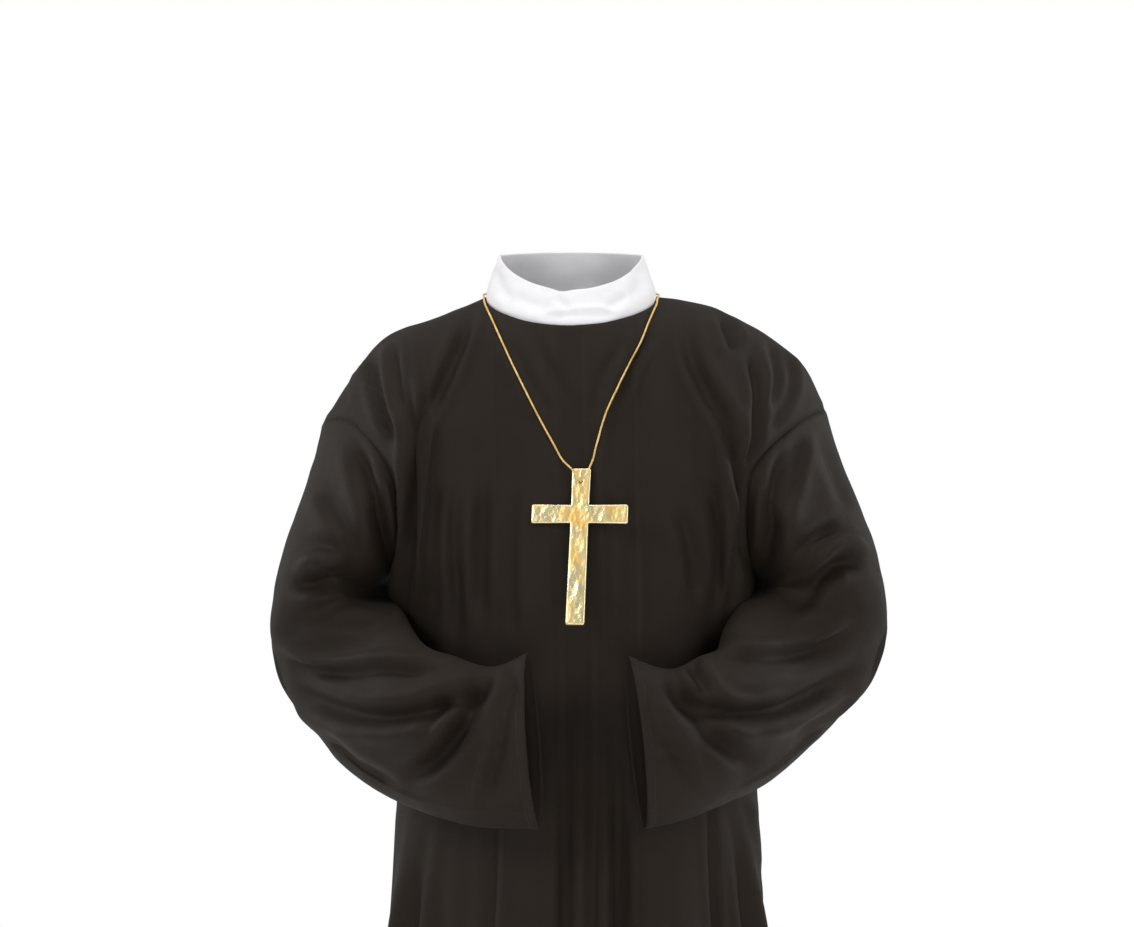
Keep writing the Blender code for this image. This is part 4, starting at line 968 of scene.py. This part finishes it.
def dress(cloth, hem, seam_rows, seam_columns, fronts, backs):
    """Move the cloth for its creases, ripples, seams and turned edge."""
    press_at_elbows(cloth)
    from_seam = edge_distances(cloth, seam_rows, seam_columns)
    from_hem = to_edge(cloth)
    moved = crease_heights(cloth.grid, cloth.normals, fronts, -1)
    moved += crease_heights(cloth.grid, cloth.normals, backs, 1)
    stretched = cloth.grid * [1.0, 1.0, 0.35]
    moved += RIPPLE * cloud(stretched, 0.030, 11) + 0.5 * RIPPLE * cloud(cloth.grid, 0.016, 12)
    moved *= ease(from_seam, 0.0, SEAM_REACH)
    moved *= 0.35 + 0.65 * ease(from_hem, 0.0, 0.05)
    pucker = 1 + 0.5 * cloud(cloth.grid, 0.009, 13)
    moved -= SEAM_GROOVE * bump(from_seam, SEAM_GROOVE_WIDTH)
    moved += 0.5 * SEAM_GROOVE * bump(from_seam - 0.007, 0.003) * pucker
    moved += TURN_STEP * (1 - ease(from_hem, hem - 0.001, hem + 0.001))
    moved -= 0.6 * TURN_STEP * bump(from_hem - hem, 0.0014) * pucker
    cloth.grid = cloth.grid + cloth.normals * moved[..., None]
    if cloth.closed:
        calm_the_crook(cloth)
    cloth.normals = grid_normals(cloth.grid, cloth.closed)


dress(robe_front, HEM_TURN, False, True, CREASES["robe_front"], ())
dress(robe_back, HEM_TURN, False, True, (), CREASES["robe_back"])
for name, cloth in sleeves.items():
    dress(cloth, CUFF_TURN, True, False, CREASES[name], CREASES[name + "_back"])
share_normals(cloths)

black_pieces = {cloth.name: shell(cloth, CLOTH_WALL, black_cloth) for cloth in cloths}


def face_area(grid, closed):
    down = np.diff(grid, axis=0)[:, : None if closed else -1]
    across = (np.roll(grid, -1, axis=1) - grid)[:-1, : None if closed else -1]
    return float(np.linalg.norm(np.cross(down, across), axis=2).sum())


# %% [markdown]
# ## Stitches
# A line of lockstitch holds the turned hem and cuffs. On the real robe each stitch is a short
# black thread that dips into the cloth at both ends. Geometry Nodes put one small stitch at every
# step of a curve that lies on the cloth, turned along it.


# %% One tree that sews along a curve
def stitch_tree():
    tree = bpy.data.node_groups.new("stitches", "GeometryNodeTree")
    for label, kind, value in (
        ("Geometry", "NodeSocketGeometry", None),
        ("Stitch step", "NodeSocketFloat", 0.0032),
        ("Stitch length", "NodeSocketFloat", 0.0025),
        ("Thread radius", "NodeSocketFloat", 0.00022),
        ("Thread", "NodeSocketMaterial", None),
    ):
        socket = tree.interface.new_socket(label, in_out="INPUT", socket_type=kind)
        if value is not None:
            socket.default_value = value
    tree.interface.new_socket("Geometry", in_out="OUTPUT", socket_type="NodeSocketGeometry")
    nodes, links = tree.nodes, tree.links
    given, out = nodes.new("NodeGroupInput"), nodes.new("NodeGroupOutput")
    steps = nodes.new("GeometryNodeResampleCurve")
    steps.mode = "LENGTH"
    links.new(given.outputs["Geometry"], steps.inputs["Curve"])
    links.new(given.outputs["Stitch step"], steps.inputs["Length"])
    tangent = nodes.new("GeometryNodeInputTangent")
    turn = nodes.new("FunctionNodeAlignRotationToVector")
    turn.axis = "Z"
    links.new(tangent.outputs[0], turn.inputs["Vector"])
    bead = nodes.new("GeometryNodeMeshUVSphere")
    bead.inputs["Segments"].default_value = 6
    bead.inputs["Rings"].default_value = 5
    bead.inputs["Radius"].default_value = 1.0
    size = nodes.new("ShaderNodeCombineXYZ")
    half = nodes.new("ShaderNodeMath")
    half.operation = "MULTIPLY"
    half.inputs[1].default_value = 0.5
    links.new(given.outputs["Stitch length"], half.inputs[0])
    links.new(given.outputs["Thread radius"], size.inputs["X"])
    links.new(given.outputs["Thread radius"], size.inputs["Y"])
    links.new(half.outputs[0], size.inputs["Z"])
    sew = nodes.new("GeometryNodeInstanceOnPoints")
    links.new(steps.outputs["Curve"], sew.inputs["Points"])
    links.new(bead.outputs["Mesh"], sew.inputs["Instance"])
    links.new(turn.outputs["Rotation"], sew.inputs["Rotation"])
    links.new(size.outputs[0], sew.inputs["Scale"])
    real = nodes.new("GeometryNodeRealizeInstances")
    links.new(sew.outputs["Instances"], real.inputs[0])
    coat = nodes.new("GeometryNodeSetMaterial")
    links.new(real.outputs[0], coat.inputs["Geometry"])
    links.new(given.outputs["Thread"], coat.inputs["Material"])
    links.new(coat.outputs[0], out.inputs[0])
    return tree


stitches_group = stitch_tree()


def plain_mesh(thing, name):
    """The evaluated object as a plain mesh, in place of the object."""
    bpy.context.view_layer.update()
    evaluated = thing.evaluated_get(bpy.context.evaluated_depsgraph_get())
    mesh = bpy.data.meshes.new_from_object(evaluated)
    bpy.data.objects.remove(thing)
    mesh.name = name
    result = bpy.data.objects.new(name, mesh)
    bpy.context.scene.collection.objects.link(result)
    mesh.polygons.foreach_set("use_smooth", [True] * len(mesh.polygons))
    return result


def sew_along(name, lines, thread, **sizes):
    """Stitches along closed or open lines of points, as one mesh."""
    curve = bpy.data.curves.new(name, "CURVE")
    curve.dimensions = "3D"
    for points, closed in lines:
        spline = curve.splines.new("POLY")
        spline.points.add(len(points) - 1)
        spline.points.foreach_set("co", np.column_stack([points, np.ones(len(points))]).ravel())
        spline.use_cyclic_u = closed
    thing = bpy.data.objects.new(name + "_line", curve)
    bpy.context.scene.collection.objects.link(thing)
    modifier = thing.modifiers.new("stitches", "NODES")
    modifier.node_group = stitches_group
    sockets = {item.name: item.identifier for item in stitches_group.interface.items_tree if item.in_out == "INPUT"}
    modifier[sockets["Thread"]] = thread
    for label, value in sizes.items():
        modifier[sockets[label.replace("_", " ").capitalize()]] = value
    result = plain_mesh(thing, name)
    print(name, len(result.data.polygons), "faces")
    return result


def line_on(cloth, above_hem, lift=0.0001):
    """The line on a piece of cloth at this distance from its hem."""
    from_hem = to_edge(cloth)
    line = []
    for column in range(cloth.grid.shape[1]):
        row = np.interp(above_hem, from_hem[::-1, column], np.arange(cloth.grid.shape[0])[::-1])
        low = int(row)
        point = cloth.grid[low, column] * (1 - row + low) + cloth.grid[min(low + 1, len(from_hem) - 1), column] * (row - low)
        line.append(point + cloth.normals[low, column] * lift)
    return np.array(line)


hem_stitches = sew_along(
    "hem_stitches", [(line_on(robe_front, HEM_TURN), False), (line_on(robe_back, HEM_TURN), False)], black_thread
)
cuff_stitches = sew_along(
    "cuff_stitches", [(line_on(cloth, CUFF_TURN), True) for cloth in sleeves.values()], black_thread
)

# %% [markdown]
# ## The collar
# The stand collar is a folded band of stiffened white cloth, sewn inside the neckline. Its rim is
# a rounded fold that dips to a slight corner in the middle of the front. The band is made as one
# closed tube: up the outside, over the rim and down the inside. A long crease lies just above the
# seam in front, and a few soft dents run up from it.

# %% Collar
COLLAR_RING_COLUMNS = "up half_width middle front back side_z front_drop back_rise"
COLLAR_RINGS = (
    (0.0, 0.0851, 0.0032, 0.0842, 0.0636, -0.0058, 0.0310, 0.0110),
    (0.2, 0.0853, 0.0032, 0.0838, 0.0640, 0.0010, 0.0310, 0.0110),
    (0.6, 0.0795, 0.0030, 0.0790, 0.0625, 0.0190, 0.0340, 0.0080),
    (1.0, 0.0722, 0.0030, 0.0735, 0.0590, 0.0400, 0.0385, 0.0060),
)
COLLAR_WALL, COLLAR_COLUMNS, COLLAR_ROWS, RIM_STEPS = 0.0022, 240, 30, 6
COLLAR_CREASES = (
    ("lap", 1.3, 4, (540, 316), (560, 313), (585, 311), (608, 312), (622, 315)),
    ("trough", 1.1, 4, (553, 298), (562, 303), (572, 309)),
    ("trough", 0.8, 5, (604, 310), (618, 302), (630, 294)),
    ("trough", 0.7, 6, (512, 297), (530, 303), (552, 312)),
    ("trough", 0.8, 5, (497, 268), (500, 285), (512, 302)),
    ("ridge", 0.7, 6, (560, 292), (590, 291), (620, 282)),
    ("trough", 0.7, 6, (636, 262), (640, 280), (632, 300)),
)
CORNER_TURN, CORNER_WIDTH, CORNER_DROP = 97.0, 7.0, 0.0022


def collar_grid():
    rings = table(COLLAR_RING_COLUMNS, COLLAR_RINGS)
    values = np.stack([rings[name] for name in COLLAR_RING_COLUMNS.split()[1:]], axis=1)
    turns = np.linspace(0, 2 * math.pi, COLLAR_COLUMNS + 1)[:-1][::-1]
    ahead = np.sin(turns)
    grid = []
    for up in np.linspace(1, 0, COLLAR_ROWS + 1):
        half_width, middle, front, back, side_z, front_drop, back_rise = flow(rings["up"], values, up)
        x = middle + half_width * np.cos(turns)
        y = -np.where(ahead > 0, front, back) * ahead
        z = side_z - front_drop * np.maximum(ahead, 0) ** 1.25 + back_rise * np.maximum(-ahead, 0) ** 1.25
        z = z - CORNER_DROP * up**2 * bump(np.degrees(turns) - CORNER_TURN, CORNER_WIDTH)
        grid.append(np.stack([x, y, z], axis=1))
    return np.array(grid)


collar = Cloth("collar", collar_grid(), True, np.zeros((COLLAR_ROWS + 1, COLLAR_COLUMNS)))
up = np.linspace(1, 0, COLLAR_ROWS + 1)[:, None]
dents = crease_heights(collar.grid, collar.normals, COLLAR_CREASES, -1)
dents += 0.0006 * cloud(collar.grid, 0.022, 21) + 0.0003 * cloud(collar.grid, 0.010, 22)
collar.grid = collar.grid + collar.normals * (dents * ease(up, 0.0, 0.15))[..., None]
collar.normals = grid_normals(collar.grid, True)

half_wall = COLLAR_WALL / 2
middle_line = collar.grid - collar.normals * half_wall
rim, rim_out, rim_up = middle_line[0], collar.normals[0], unit(collar.grid[0] - collar.grid[1])
over_the_rim = [
    rim + (rim_out * math.cos(angle) + rim_up * math.sin(angle)) * half_wall
    for angle in np.linspace(0, math.pi, RIM_STEPS + 1)[1:-1]
]
loop = np.concatenate([
    collar.grid[::-1], over_the_rim, middle_line - collar.normals * half_wall,
])
rows = len(loop)
quads = []
for row in range(rows):
    for column in range(COLLAR_COLUMNS):
        following = (column + 1) % COLLAR_COLUMNS
        below = (row + 1) % rows
        quads.append((
            row * COLLAR_COLUMNS + column, row * COLLAR_COLUMNS + following,
            below * COLLAR_COLUMNS + following, below * COLLAR_COLUMNS + column,
        ))
across = np.broadcast_to(lengths(loop[0])[None, :], (rows, COLLAR_COLUMNS))
upwards = np.broadcast_to(lengths(loop[:, 0])[:, None], (rows, COLLAR_COLUMNS))
collar_band = add_mesh(
    "collar_band", loop.reshape(-1, 3), quads, white_cloth, np.stack([across, upwards], axis=-1).reshape(-1, 2)
)
print("collar area, m2:", round(face_area(collar.grid, True), 4))

# %% [markdown]
# ## The cross
# The cross is a light plate wrapped in gold foil. The foil is crinkled all over and its edge is
# rounded. A narrow band along the edge is painted a paler gold, a painted highlight where the
# rounded edge catches the light. The outline is filled with small triangles, so the crinkles can
# be real relief: each point takes the height of the nearest of many random facets, which meet in
# sharp little creases.

# %% Cross
CROSS_CENTRE, CROSS_DOWN = (0.0112, -0.1450, -0.2166), (-0.0440, -0.2050, -0.9778)
CROSS_WIDTH, CROSS_ABOVE, CROSS_BELOW, CROSS_BAR, CROSS_FLARE = 0.0950, 0.0448, 0.1080, 0.0180, 0.0005
CROSS_THICKNESS, CROSS_CORNER = 0.0030, 0.0020
HOLE_BELOW_TOP, HOLE_RADIUS = 0.0130, 0.0017
EDGE_ROUND, OUTLINE_STEP, FILL_STEP = 0.0011, 0.0010, 0.0010
CRINKLE = 0.00032


def cross_axes():
    up = -unit(np.array(CROSS_DOWN))
    arms = unit(np.array([up[1], -up[0], 0.0]))
    if arms[0] < 0:
        arms = -arms
    return arms, up, np.cross(arms, up)


def cross_outline():
    """The outline, anticlockwise from the front, in small even steps."""
    half, flare, reach = CROSS_BAR / 2, CROSS_FLARE, CROSS_WIDTH / 2
    ends = (
        ((reach, -half - flare), (reach, half + flare)), ((half, half),),
        ((half + flare, CROSS_ABOVE), (-half - flare, CROSS_ABOVE)), ((-half, half),),
        ((-reach, half + flare), (-reach, -half - flare)), ((-half, -half),),
        ((-half - flare, -CROSS_BELOW), (half + flare, -CROSS_BELOW)), ((half, -half),),
    )
    corners = [(np.array(point), len(group_of) == 2) for group_of in ends for point in group_of]
    outline = []
    for index, (point, rounded) in enumerate(corners):
        before = unit(corners[index - 1][0] - point)
        after = unit(corners[(index + 1) % len(corners)][0] - point)
        radius = CROSS_CORNER if rounded else 0.0004
        middle = point + (before + after) * radius
        for angle in np.linspace(0, math.pi / 2, 6):
            outline.append(middle - after * radius * math.cos(angle) - before * radius * math.sin(angle))
    outline = np.array(outline)
    closed = np.concatenate([outline, outline[:1]])
    return resample(closed, int(lengths(closed)[-1] / OUTLINE_STEP) + 1)[:-1]


def inset(outline, distance):
    sideways = unit(np.roll(outline, -1, axis=0) - np.roll(outline, 1, axis=0))
    return outline + np.stack([-sideways[:, 1], sideways[:, 0]], axis=1) * distance


def crinkles(points, seed):
    """Facets that meet in sharp creases, from 0 to about 1."""
    random = np.random.default_rng(seed)
    total = np.zeros(len(points))
    for spacing, weight in ((0.0075, 0.6), (0.0034, 0.4)):
        count = int(CROSS_WIDTH * (CROSS_ABOVE + CROSS_BELOW) / spacing**2)
        seeds = random.uniform((-CROSS_WIDTH / 2, -CROSS_BELOW), (CROSS_WIDTH / 2, CROSS_ABOVE), (count, 2))
        level = random.uniform(0, 0.9, count)
        slant = np.array([1.0, 0.62])
        distance = np.linalg.norm((points[:, None] - seeds[None]) * slant, axis=2) / spacing
        total += weight * np.min(distance + level, axis=1)
    return total


def inside_cross(point, margin):
    half, reach = CROSS_BAR / 2 - margin, CROSS_WIDTH / 2 - margin
    upright = abs(point[0]) < half and -CROSS_BELOW + margin < point[1] < CROSS_ABOVE - margin
    return upright or (abs(point[1]) < half and abs(point[0]) < reach)


def make_cross(material):
    arms, up, out = cross_axes()
    outline = cross_outline()
    count = len(outline)
    hole = np.array([0, CROSS_ABOVE - HOLE_BELOW_TOP])
    ring = np.array([
        hole + HOLE_RADIUS * np.array([math.cos(angle), math.sin(angle)])
        for angle in np.linspace(0, 2 * math.pi, 25)[:-1]
    ])
    rim = inset(outline, EDGE_ROUND)
    random = np.random.default_rng(5)
    fill = []
    for x in np.arange(-CROSS_WIDTH / 2, CROSS_WIDTH / 2, FILL_STEP):
        for z in np.arange(-CROSS_BELOW, CROSS_ABOVE, FILL_STEP):
            spot = np.array([x, z]) + random.uniform(-0.3, 0.3, 2) * FILL_STEP
            if inside_cross(spot, EDGE_ROUND + 0.0007) and np.linalg.norm(spot - hole) > HOLE_RADIUS + 0.0006:
                fill.append(spot)
    flat = np.concatenate([rim, ring, fill])
    edges = [(i, (i + 1) % count) for i in range(count)]
    edges += [(count + i, count + (i + 1) % 24) for i in range(24)]
    found = delaunay_2d_cdt([Vector(point) for point in flat], edges, [], 1, 1e-7)
    spots = np.array([tuple(point) for point in found[0]])
    triangles = [
        triangle for triangle in found[2]
        if np.linalg.norm(spots[list(triangle)].mean(axis=0) - hole) > HOLE_RADIUS * 0.98
    ]
    centre, half = np.array(CROSS_CENTRE), CROSS_THICKNESS / 2

    def place(points, depth):
        depth = np.broadcast_to(depth, (len(points),))
        return centre + points[:, :1] * arms + points[:, 1:] * up + depth[:, None] * out

    body = bmesh.new()
    layers = []
    for facing, seed in ((1, 31), (-1, 32)):
        rise = crinkles(spots, seed)
        rise = (rise - rise.mean()) * CRINKLE * 2
        from_rim = np.array([np.min(np.linalg.norm(rim - spot, axis=1)) for spot in spots])
        rise *= ease(from_rim, 0.0, 0.0016)
        layer = [body.verts.new(point) for point in place(spots, facing * (half + rise))]
        for triangle in triangles:
            body.faces.new([layer[i] for i in (triangle if facing > 0 else triangle[::-1])])
        layers.append(layer)
    rings = []
    for angle in np.linspace(math.pi / 2, -math.pi / 2, 9)[1:-1]:
        distance = EDGE_ROUND * (1 - math.cos(angle))
        depth = math.sin(angle) * half
        rings.append([body.verts.new(point) for point in place(inset(outline, distance), depth)])
    index = {tuple(np.round(spot, 7)): i for i, spot in enumerate(spots)}
    rim_at = [index.get(tuple(np.round(point, 7)), int(np.argmin(np.linalg.norm(spots - point, axis=1)))) for point in rim]
    ring_at = [int(np.argmin(np.linalg.norm(spots - point, axis=1))) for point in ring]
    rings = [[layers[0][i] for i in rim_at], *rings, [layers[1][i] for i in rim_at]]
    for upper, lower in zip(rings, rings[1:]):
        for i in range(count):
            j = (i + 1) % count
            body.faces.new((upper[i], lower[i], lower[j], upper[j]))
    for i in range(24):
        j = (i + 1) % 24
        body.faces.new((layers[0][ring_at[i]], layers[0][ring_at[j]], layers[1][ring_at[j]], layers[1][ring_at[i]]))
    bmesh.ops.remove_doubles(body, verts=body.verts, dist=1e-6)
    bmesh.ops.recalc_face_normals(body, faces=body.faces)
    mesh = bpy.data.meshes.new("cross_plate")
    body.to_mesh(mesh)
    body.free()
    mesh.polygons.foreach_set("use_smooth", [True] * len(mesh.polygons))
    # The "edge" attribute is 1 along the outline and fades out inwards; the foil's colour uses it for a painted
    # highlight on the rounded edge.
    edge = mesh.attributes.new("edge", "FLOAT", "POINT")
    points = np.array([vertex.co for vertex in mesh.vertices]) - centre
    flat_points = np.stack([points @ arms, points @ up], axis=1)
    near = np.array([np.min(np.linalg.norm(outline - spot, axis=1)) for spot in flat_points])
    edge.data.foreach_set("value", 1 - ease(near, 0.0006, 0.0022))
    mesh.materials.append(material)
    thing = bpy.data.objects.new("cross_plate", mesh)
    bpy.context.scene.collection.objects.link(thing)
    print("cross", len(mesh.polygons), "faces")
    return thing


# %% Gold foil
gold_foil = bpy.data.materials.new("crinkled_gold_foil")
gold_foil.use_nodes = True
tree = gold_foil.node_tree
shader = tree.nodes["Principled BSDF"]
places = tree.nodes.new("ShaderNodeTexCoord")
uneven = tree.nodes.new("ShaderNodeGroup")
uneven.node_tree = uneven_group
uneven.inputs["Coarse scale"].default_value = 45.0
uneven.inputs["Fine scale"].default_value = 420.0
tree.links.new(places.outputs["Object"], uneven.inputs["Vector"])
# Painted highlight: near the outline the foil's colour is mixed towards a pale gold, standing in for the light that
# the rounded edge catches.
edge = tree.nodes.new("ShaderNodeAttribute")
edge.attribute_name = "edge"
gold = mix_colours(tree, uneven.outputs["Mask"], (0.84, 0.53, 0.15), (1.0, 0.90, 0.52))
tree.links.new(mix_colours(tree, edge.outputs["Fac"], gold, (1.0, 0.86, 0.52)), shader.inputs["Base Color"])
shader.inputs["Metallic"].default_value = 1.0
rough = tree.nodes.new("ShaderNodeMapRange")
rough.inputs["To Min"].default_value = 0.46
rough.inputs["To Max"].default_value = 0.26
tree.links.new(uneven.outputs["Mask"], rough.inputs["Value"])
tree.links.new(rough.outputs["Result"], shader.inputs["Roughness"])
grain = tree.nodes.new("ShaderNodeBump")
grain.inputs["Distance"].default_value = 0.0008
tree.links.new(uneven.outputs["Height"], grain.inputs["Height"])
tree.links.new(grain.outputs["Normal"], shader.inputs["Normal"])
cross_plate = make_cross(gold_foil)

# %% [markdown]
# ## The cord
# The cord is two gold yarns twisted together. It runs from a knot at the nape round the foot of
# the collar, down the chest, through the hole of the cross from the front to the back, and up the
# other side. The route follows the same places as the CAD cord, and it is laid on the finished
# cloth. The tube's section has two lobes that turn along the route, as two yarns do.

# %% The cord's route
CORD_DIAMETER, CORD_CLEARANCE, CORD_STANDOFF = 0.0020, 0.0004, 0.0003
CORD_COLUMNS = "x z"
CORD_LEFT = (
    (-0.0815, -0.0118), (-0.0770, -0.0210), (-0.0682, -0.0405), (-0.0557, -0.0683),
    (-0.0425, -0.0952), (-0.0275, -0.1247), (-0.0145, -0.1483), (-0.0056, -0.1650),
)
CORD_RIGHT = (
    (0.0864, -0.0125), (0.0795, -0.0281), (0.0705, -0.0489), (0.0616, -0.0655),
    (0.0526, -0.0831), (0.0436, -0.1030), (0.0356, -0.1218), (0.0274, -0.1507),
    (0.0247, -0.1640),
)
CORD_STEPS, CORD_ARC_STEPS, KNOT_RADIUS, KNOT_TURN = 60, 24, 0.0026, 2.3


def clear_of(surface, point, lift):
    near, _, _, distance = surface.find_nearest(Vector(point))
    if distance >= lift:
        return np.array(point)
    return np.array(near + (Vector(point) - near).normalized() * lift)


def on_robe(surface, x, z, lift):
    hit = surface.ray_cast(Vector((x, -1.0, z)), Vector((0, 1, 0)))[0]
    return clear_of(surface, np.array(hit) - [0, lift * 0.9, 0], lift)


def round_the_collar(turn, lift):
    ahead, side = math.sin(math.radians(turn)), math.cos(math.radians(turn))
    depth = NECK_FRONT if ahead > 0 else NECK_BACK
    z = NECK_SIDE_Z - NECK_FRONT_DROP * max(ahead, 0) ** 1.25 + NECK_BACK_RISE * max(-ahead, 0) ** 1.25
    half_width = NECK_HALF_WIDTHS[-1 if side < 0 else 1]
    return np.array([half_width * side, -(depth - 0.0005) * ahead, z + lift])


def strand(surface, rows, lift):
    rows = table(CORD_COLUMNS, rows)
    knots = np.linspace(0, 1, len(rows["x"]))
    places = flow(knots, np.stack([rows["x"], rows["z"]], axis=1), np.linspace(0, 1, CORD_STEPS))
    laid = np.array([on_robe(surface, x, z, lift) for x, z in places])
    return [clear_of(surface, point, lift) for point in resample(laid, CORD_STEPS)]


def over_shoulder(surface, start, end, lift):
    return [clear_of(surface, start + (end - start) * part, lift) for part in (0.25, 0.5, 0.75)]


def cord_route(surface):
    """The centreline: from the nape round the collar, through the cross and back."""
    lift = CORD_DIAMETER / 2 + CORD_CLEARANCE
    arms, up, out = cross_axes()
    hole = np.array(CROSS_CENTRE) + up * (CROSS_ABOVE - HOLE_BELOW_TOP)
    off_plate, over = CROSS_THICKNESS / 2 + lift, lift + 0.0012
    on_cloth = CORD_DIAMETER / 2 + CORD_STANDOFF
    left_strand, right_strand = (strand(surface, rows, on_cloth) for rows in (CORD_LEFT, CORD_RIGHT))
    points = [round_the_collar(turn, over) for turn in np.linspace(270 - KNOT_TURN, 178, CORD_ARC_STEPS)]
    points += over_shoulder(surface, points[-1], left_strand[0], on_cloth) + left_strand
    points.append(hole - arms * 0.0085 + up * 0.0115 + out * off_plate)
    points.append(hole - arms * 0.0018 + up * 0.0026 + out * off_plate)
    points += [hole + out * off_plate, hole, hole - out * off_plate]
    points.append(hole + arms * 0.0012 + up * 0.0028 - out * off_plate)
    points.append(hole + arms * 0.0062 + up * 0.0130 - out * off_plate)
    points += right_strand[::-1]
    last_arc = [round_the_collar(turn, over) for turn in np.linspace(2, KNOT_TURN - 90, CORD_ARC_STEPS)]
    points += over_shoulder(surface, points[-1], last_arc[0], on_cloth) + last_arc
    return np.array(points)


bpy.context.view_layer.update()
surface = BVHTree.FromObject(black_pieces["robe_front"], bpy.context.evaluated_depsgraph_get())
route = cord_route(surface)

# %% The twisted tube
PITCH, TUBE_STEP, TUBE_SIDES, LOBE = 0.0052, 0.0005, 12, 0.20


def relaxed(path, rounds, keep=None):
    """The path at even steps, smoothed except within a few millimetres of the place to keep."""
    line = resample(path, int(lengths(path)[-1] / TUBE_STEP))
    free = 1.0 if keep is None else ease(np.linalg.norm(line - keep, axis=1), 0.004, 0.010)[1:-1, None]
    for _ in range(rounds):
        line[1:-1] += free * ((line[:-2] + line[2:]) / 2 - line[1:-1]) / 2
    return line


def twisted_tube(name, line, radius, material):
    """A tube with two turning lobes, closed at both ends. U runs along it and V round it."""
    count = len(line)
    ways = unit(np.gradient(line, axis=0))
    side = unit(np.cross(ways[0], [0.0, 0.0, 1.0]))
    steps = lengths(line)
    points, uvs = [], []
    for place, way, step in zip(line, ways, steps):
        side = unit(side - way * np.dot(side, way))
        other = np.cross(way, side)
        twist = 2 * math.pi * step / PITCH
        for turn in np.linspace(0, 2 * math.pi, TUBE_SIDES + 1)[:-1]:
            reach = radius * (1 - LOBE / 2 + LOBE / 2 * math.cos(2 * (turn - twist)))
            points.append(place + reach * (side * math.cos(turn) + other * math.sin(turn)))
            uvs.append((step, (turn - twist) / (2 * math.pi)))
    faces = []
    for row in range(count - 1):
        for column in range(TUBE_SIDES):
            following = (column + 1) % TUBE_SIDES
            a, b = row * TUBE_SIDES + column, row * TUBE_SIDES + following
            faces.append((a, b, b + TUBE_SIDES, a + TUBE_SIDES))
    last = (count - 1) * TUBE_SIDES
    faces.append(tuple(range(TUBE_SIDES))[::-1])
    faces.append(tuple(range(last, last + TUBE_SIDES)))
    return add_mesh(name, points, faces, material, uvs)


gold_cord = bpy.data.materials.new("twisted_gold_yarn")
gold_cord.use_nodes = True
tree = gold_cord.node_tree
shader = tree.nodes["Principled BSDF"]
places = tree.nodes.new("ShaderNodeTexCoord")
weave = tree.nodes.new("ShaderNodeGroup")
weave.node_tree = weave_group
weave.inputs["Threads per metre"].default_value = 900.0
tree.links.new(places.outputs["UV"], weave.inputs["Vector"])
uneven = tree.nodes.new("ShaderNodeGroup")
uneven.node_tree = uneven_group
uneven.inputs["Coarse scale"].default_value = 120.0
uneven.inputs["Fine scale"].default_value = 900.0
tree.links.new(places.outputs["Object"], uneven.inputs["Vector"])
yarn = mix_colours(tree, uneven.outputs["Mask"], (0.62, 0.32, 0.05), (0.98, 0.66, 0.22))
tree.links.new(mix_colours(tree, weave.outputs["Mask"], yarn, (1.0, 0.80, 0.42)), shader.inputs["Base Color"])
shader.inputs["Metallic"].default_value = 0.35
shader.inputs["Roughness"].default_value = 0.45
fibres = tree.nodes.new("ShaderNodeBump")
fibres.inputs["Distance"].default_value = 0.0001
tree.links.new(weave.outputs["Height"], fibres.inputs["Height"])
tree.links.new(fibres.outputs["Normal"], shader.inputs["Normal"])

cross_hole = np.array(CROSS_CENTRE) + cross_axes()[1] * (CROSS_ABOVE - HOLE_BELOW_TOP)
cord_line = relaxed(relaxed(route, 3), 90, cross_hole)
cord_line = relaxed(np.array([clear_of(surface, point, CORD_DIAMETER / 2 + 0.0001) for point in cord_line]), 2)
cord_twist = twisted_tube("cord_twist", cord_line, CORD_DIAMETER / 2 * 1.04, gold_cord)

# %% [markdown]
# The two ends of the cord are tied at the nape. The knot is a short overhand knot, drawn tight: a
# tube along a trefoil that is squeezed to the size of the CAD knot.

# %% The knot at the nape
nape = round_the_collar(270, KNOT_RADIUS + 0.0006) + [0, 0.0004, 0]
turns = np.linspace(0, 2 * math.pi, 160)
trefoil = np.stack([
    (np.sin(turns) + 2 * np.sin(2 * turns)) / 3,
    -np.sin(3 * turns) * 0.5,
    (np.cos(turns) - 2 * np.cos(2 * turns)) / 3,
], axis=1)
knot = twisted_tube("cord_knot_tied", relaxed(nape + trefoil * KNOT_RADIUS * 0.72, 1), 0.00075, gold_cord)

# %% [markdown]
# ## Riding and replacing
# Nothing moves on a garment, so every piece rides on the one body. Each piece replaces its plain
# solid.

for name, piece in black_pieces.items():
    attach(piece, "root")
    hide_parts(name)
for piece in (hem_stitches, cuff_stitches):
    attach(piece, "root")
for piece, node, slot in (
    (collar_band, "collar", "white_cloth"),
    (cross_plate, "cross", "gold_foil"),
    (cord_twist, "cord", "gold_cord"),
    (knot, "cord_knot", "gold_cord"),
):
    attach(piece, "root")
    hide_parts(node)
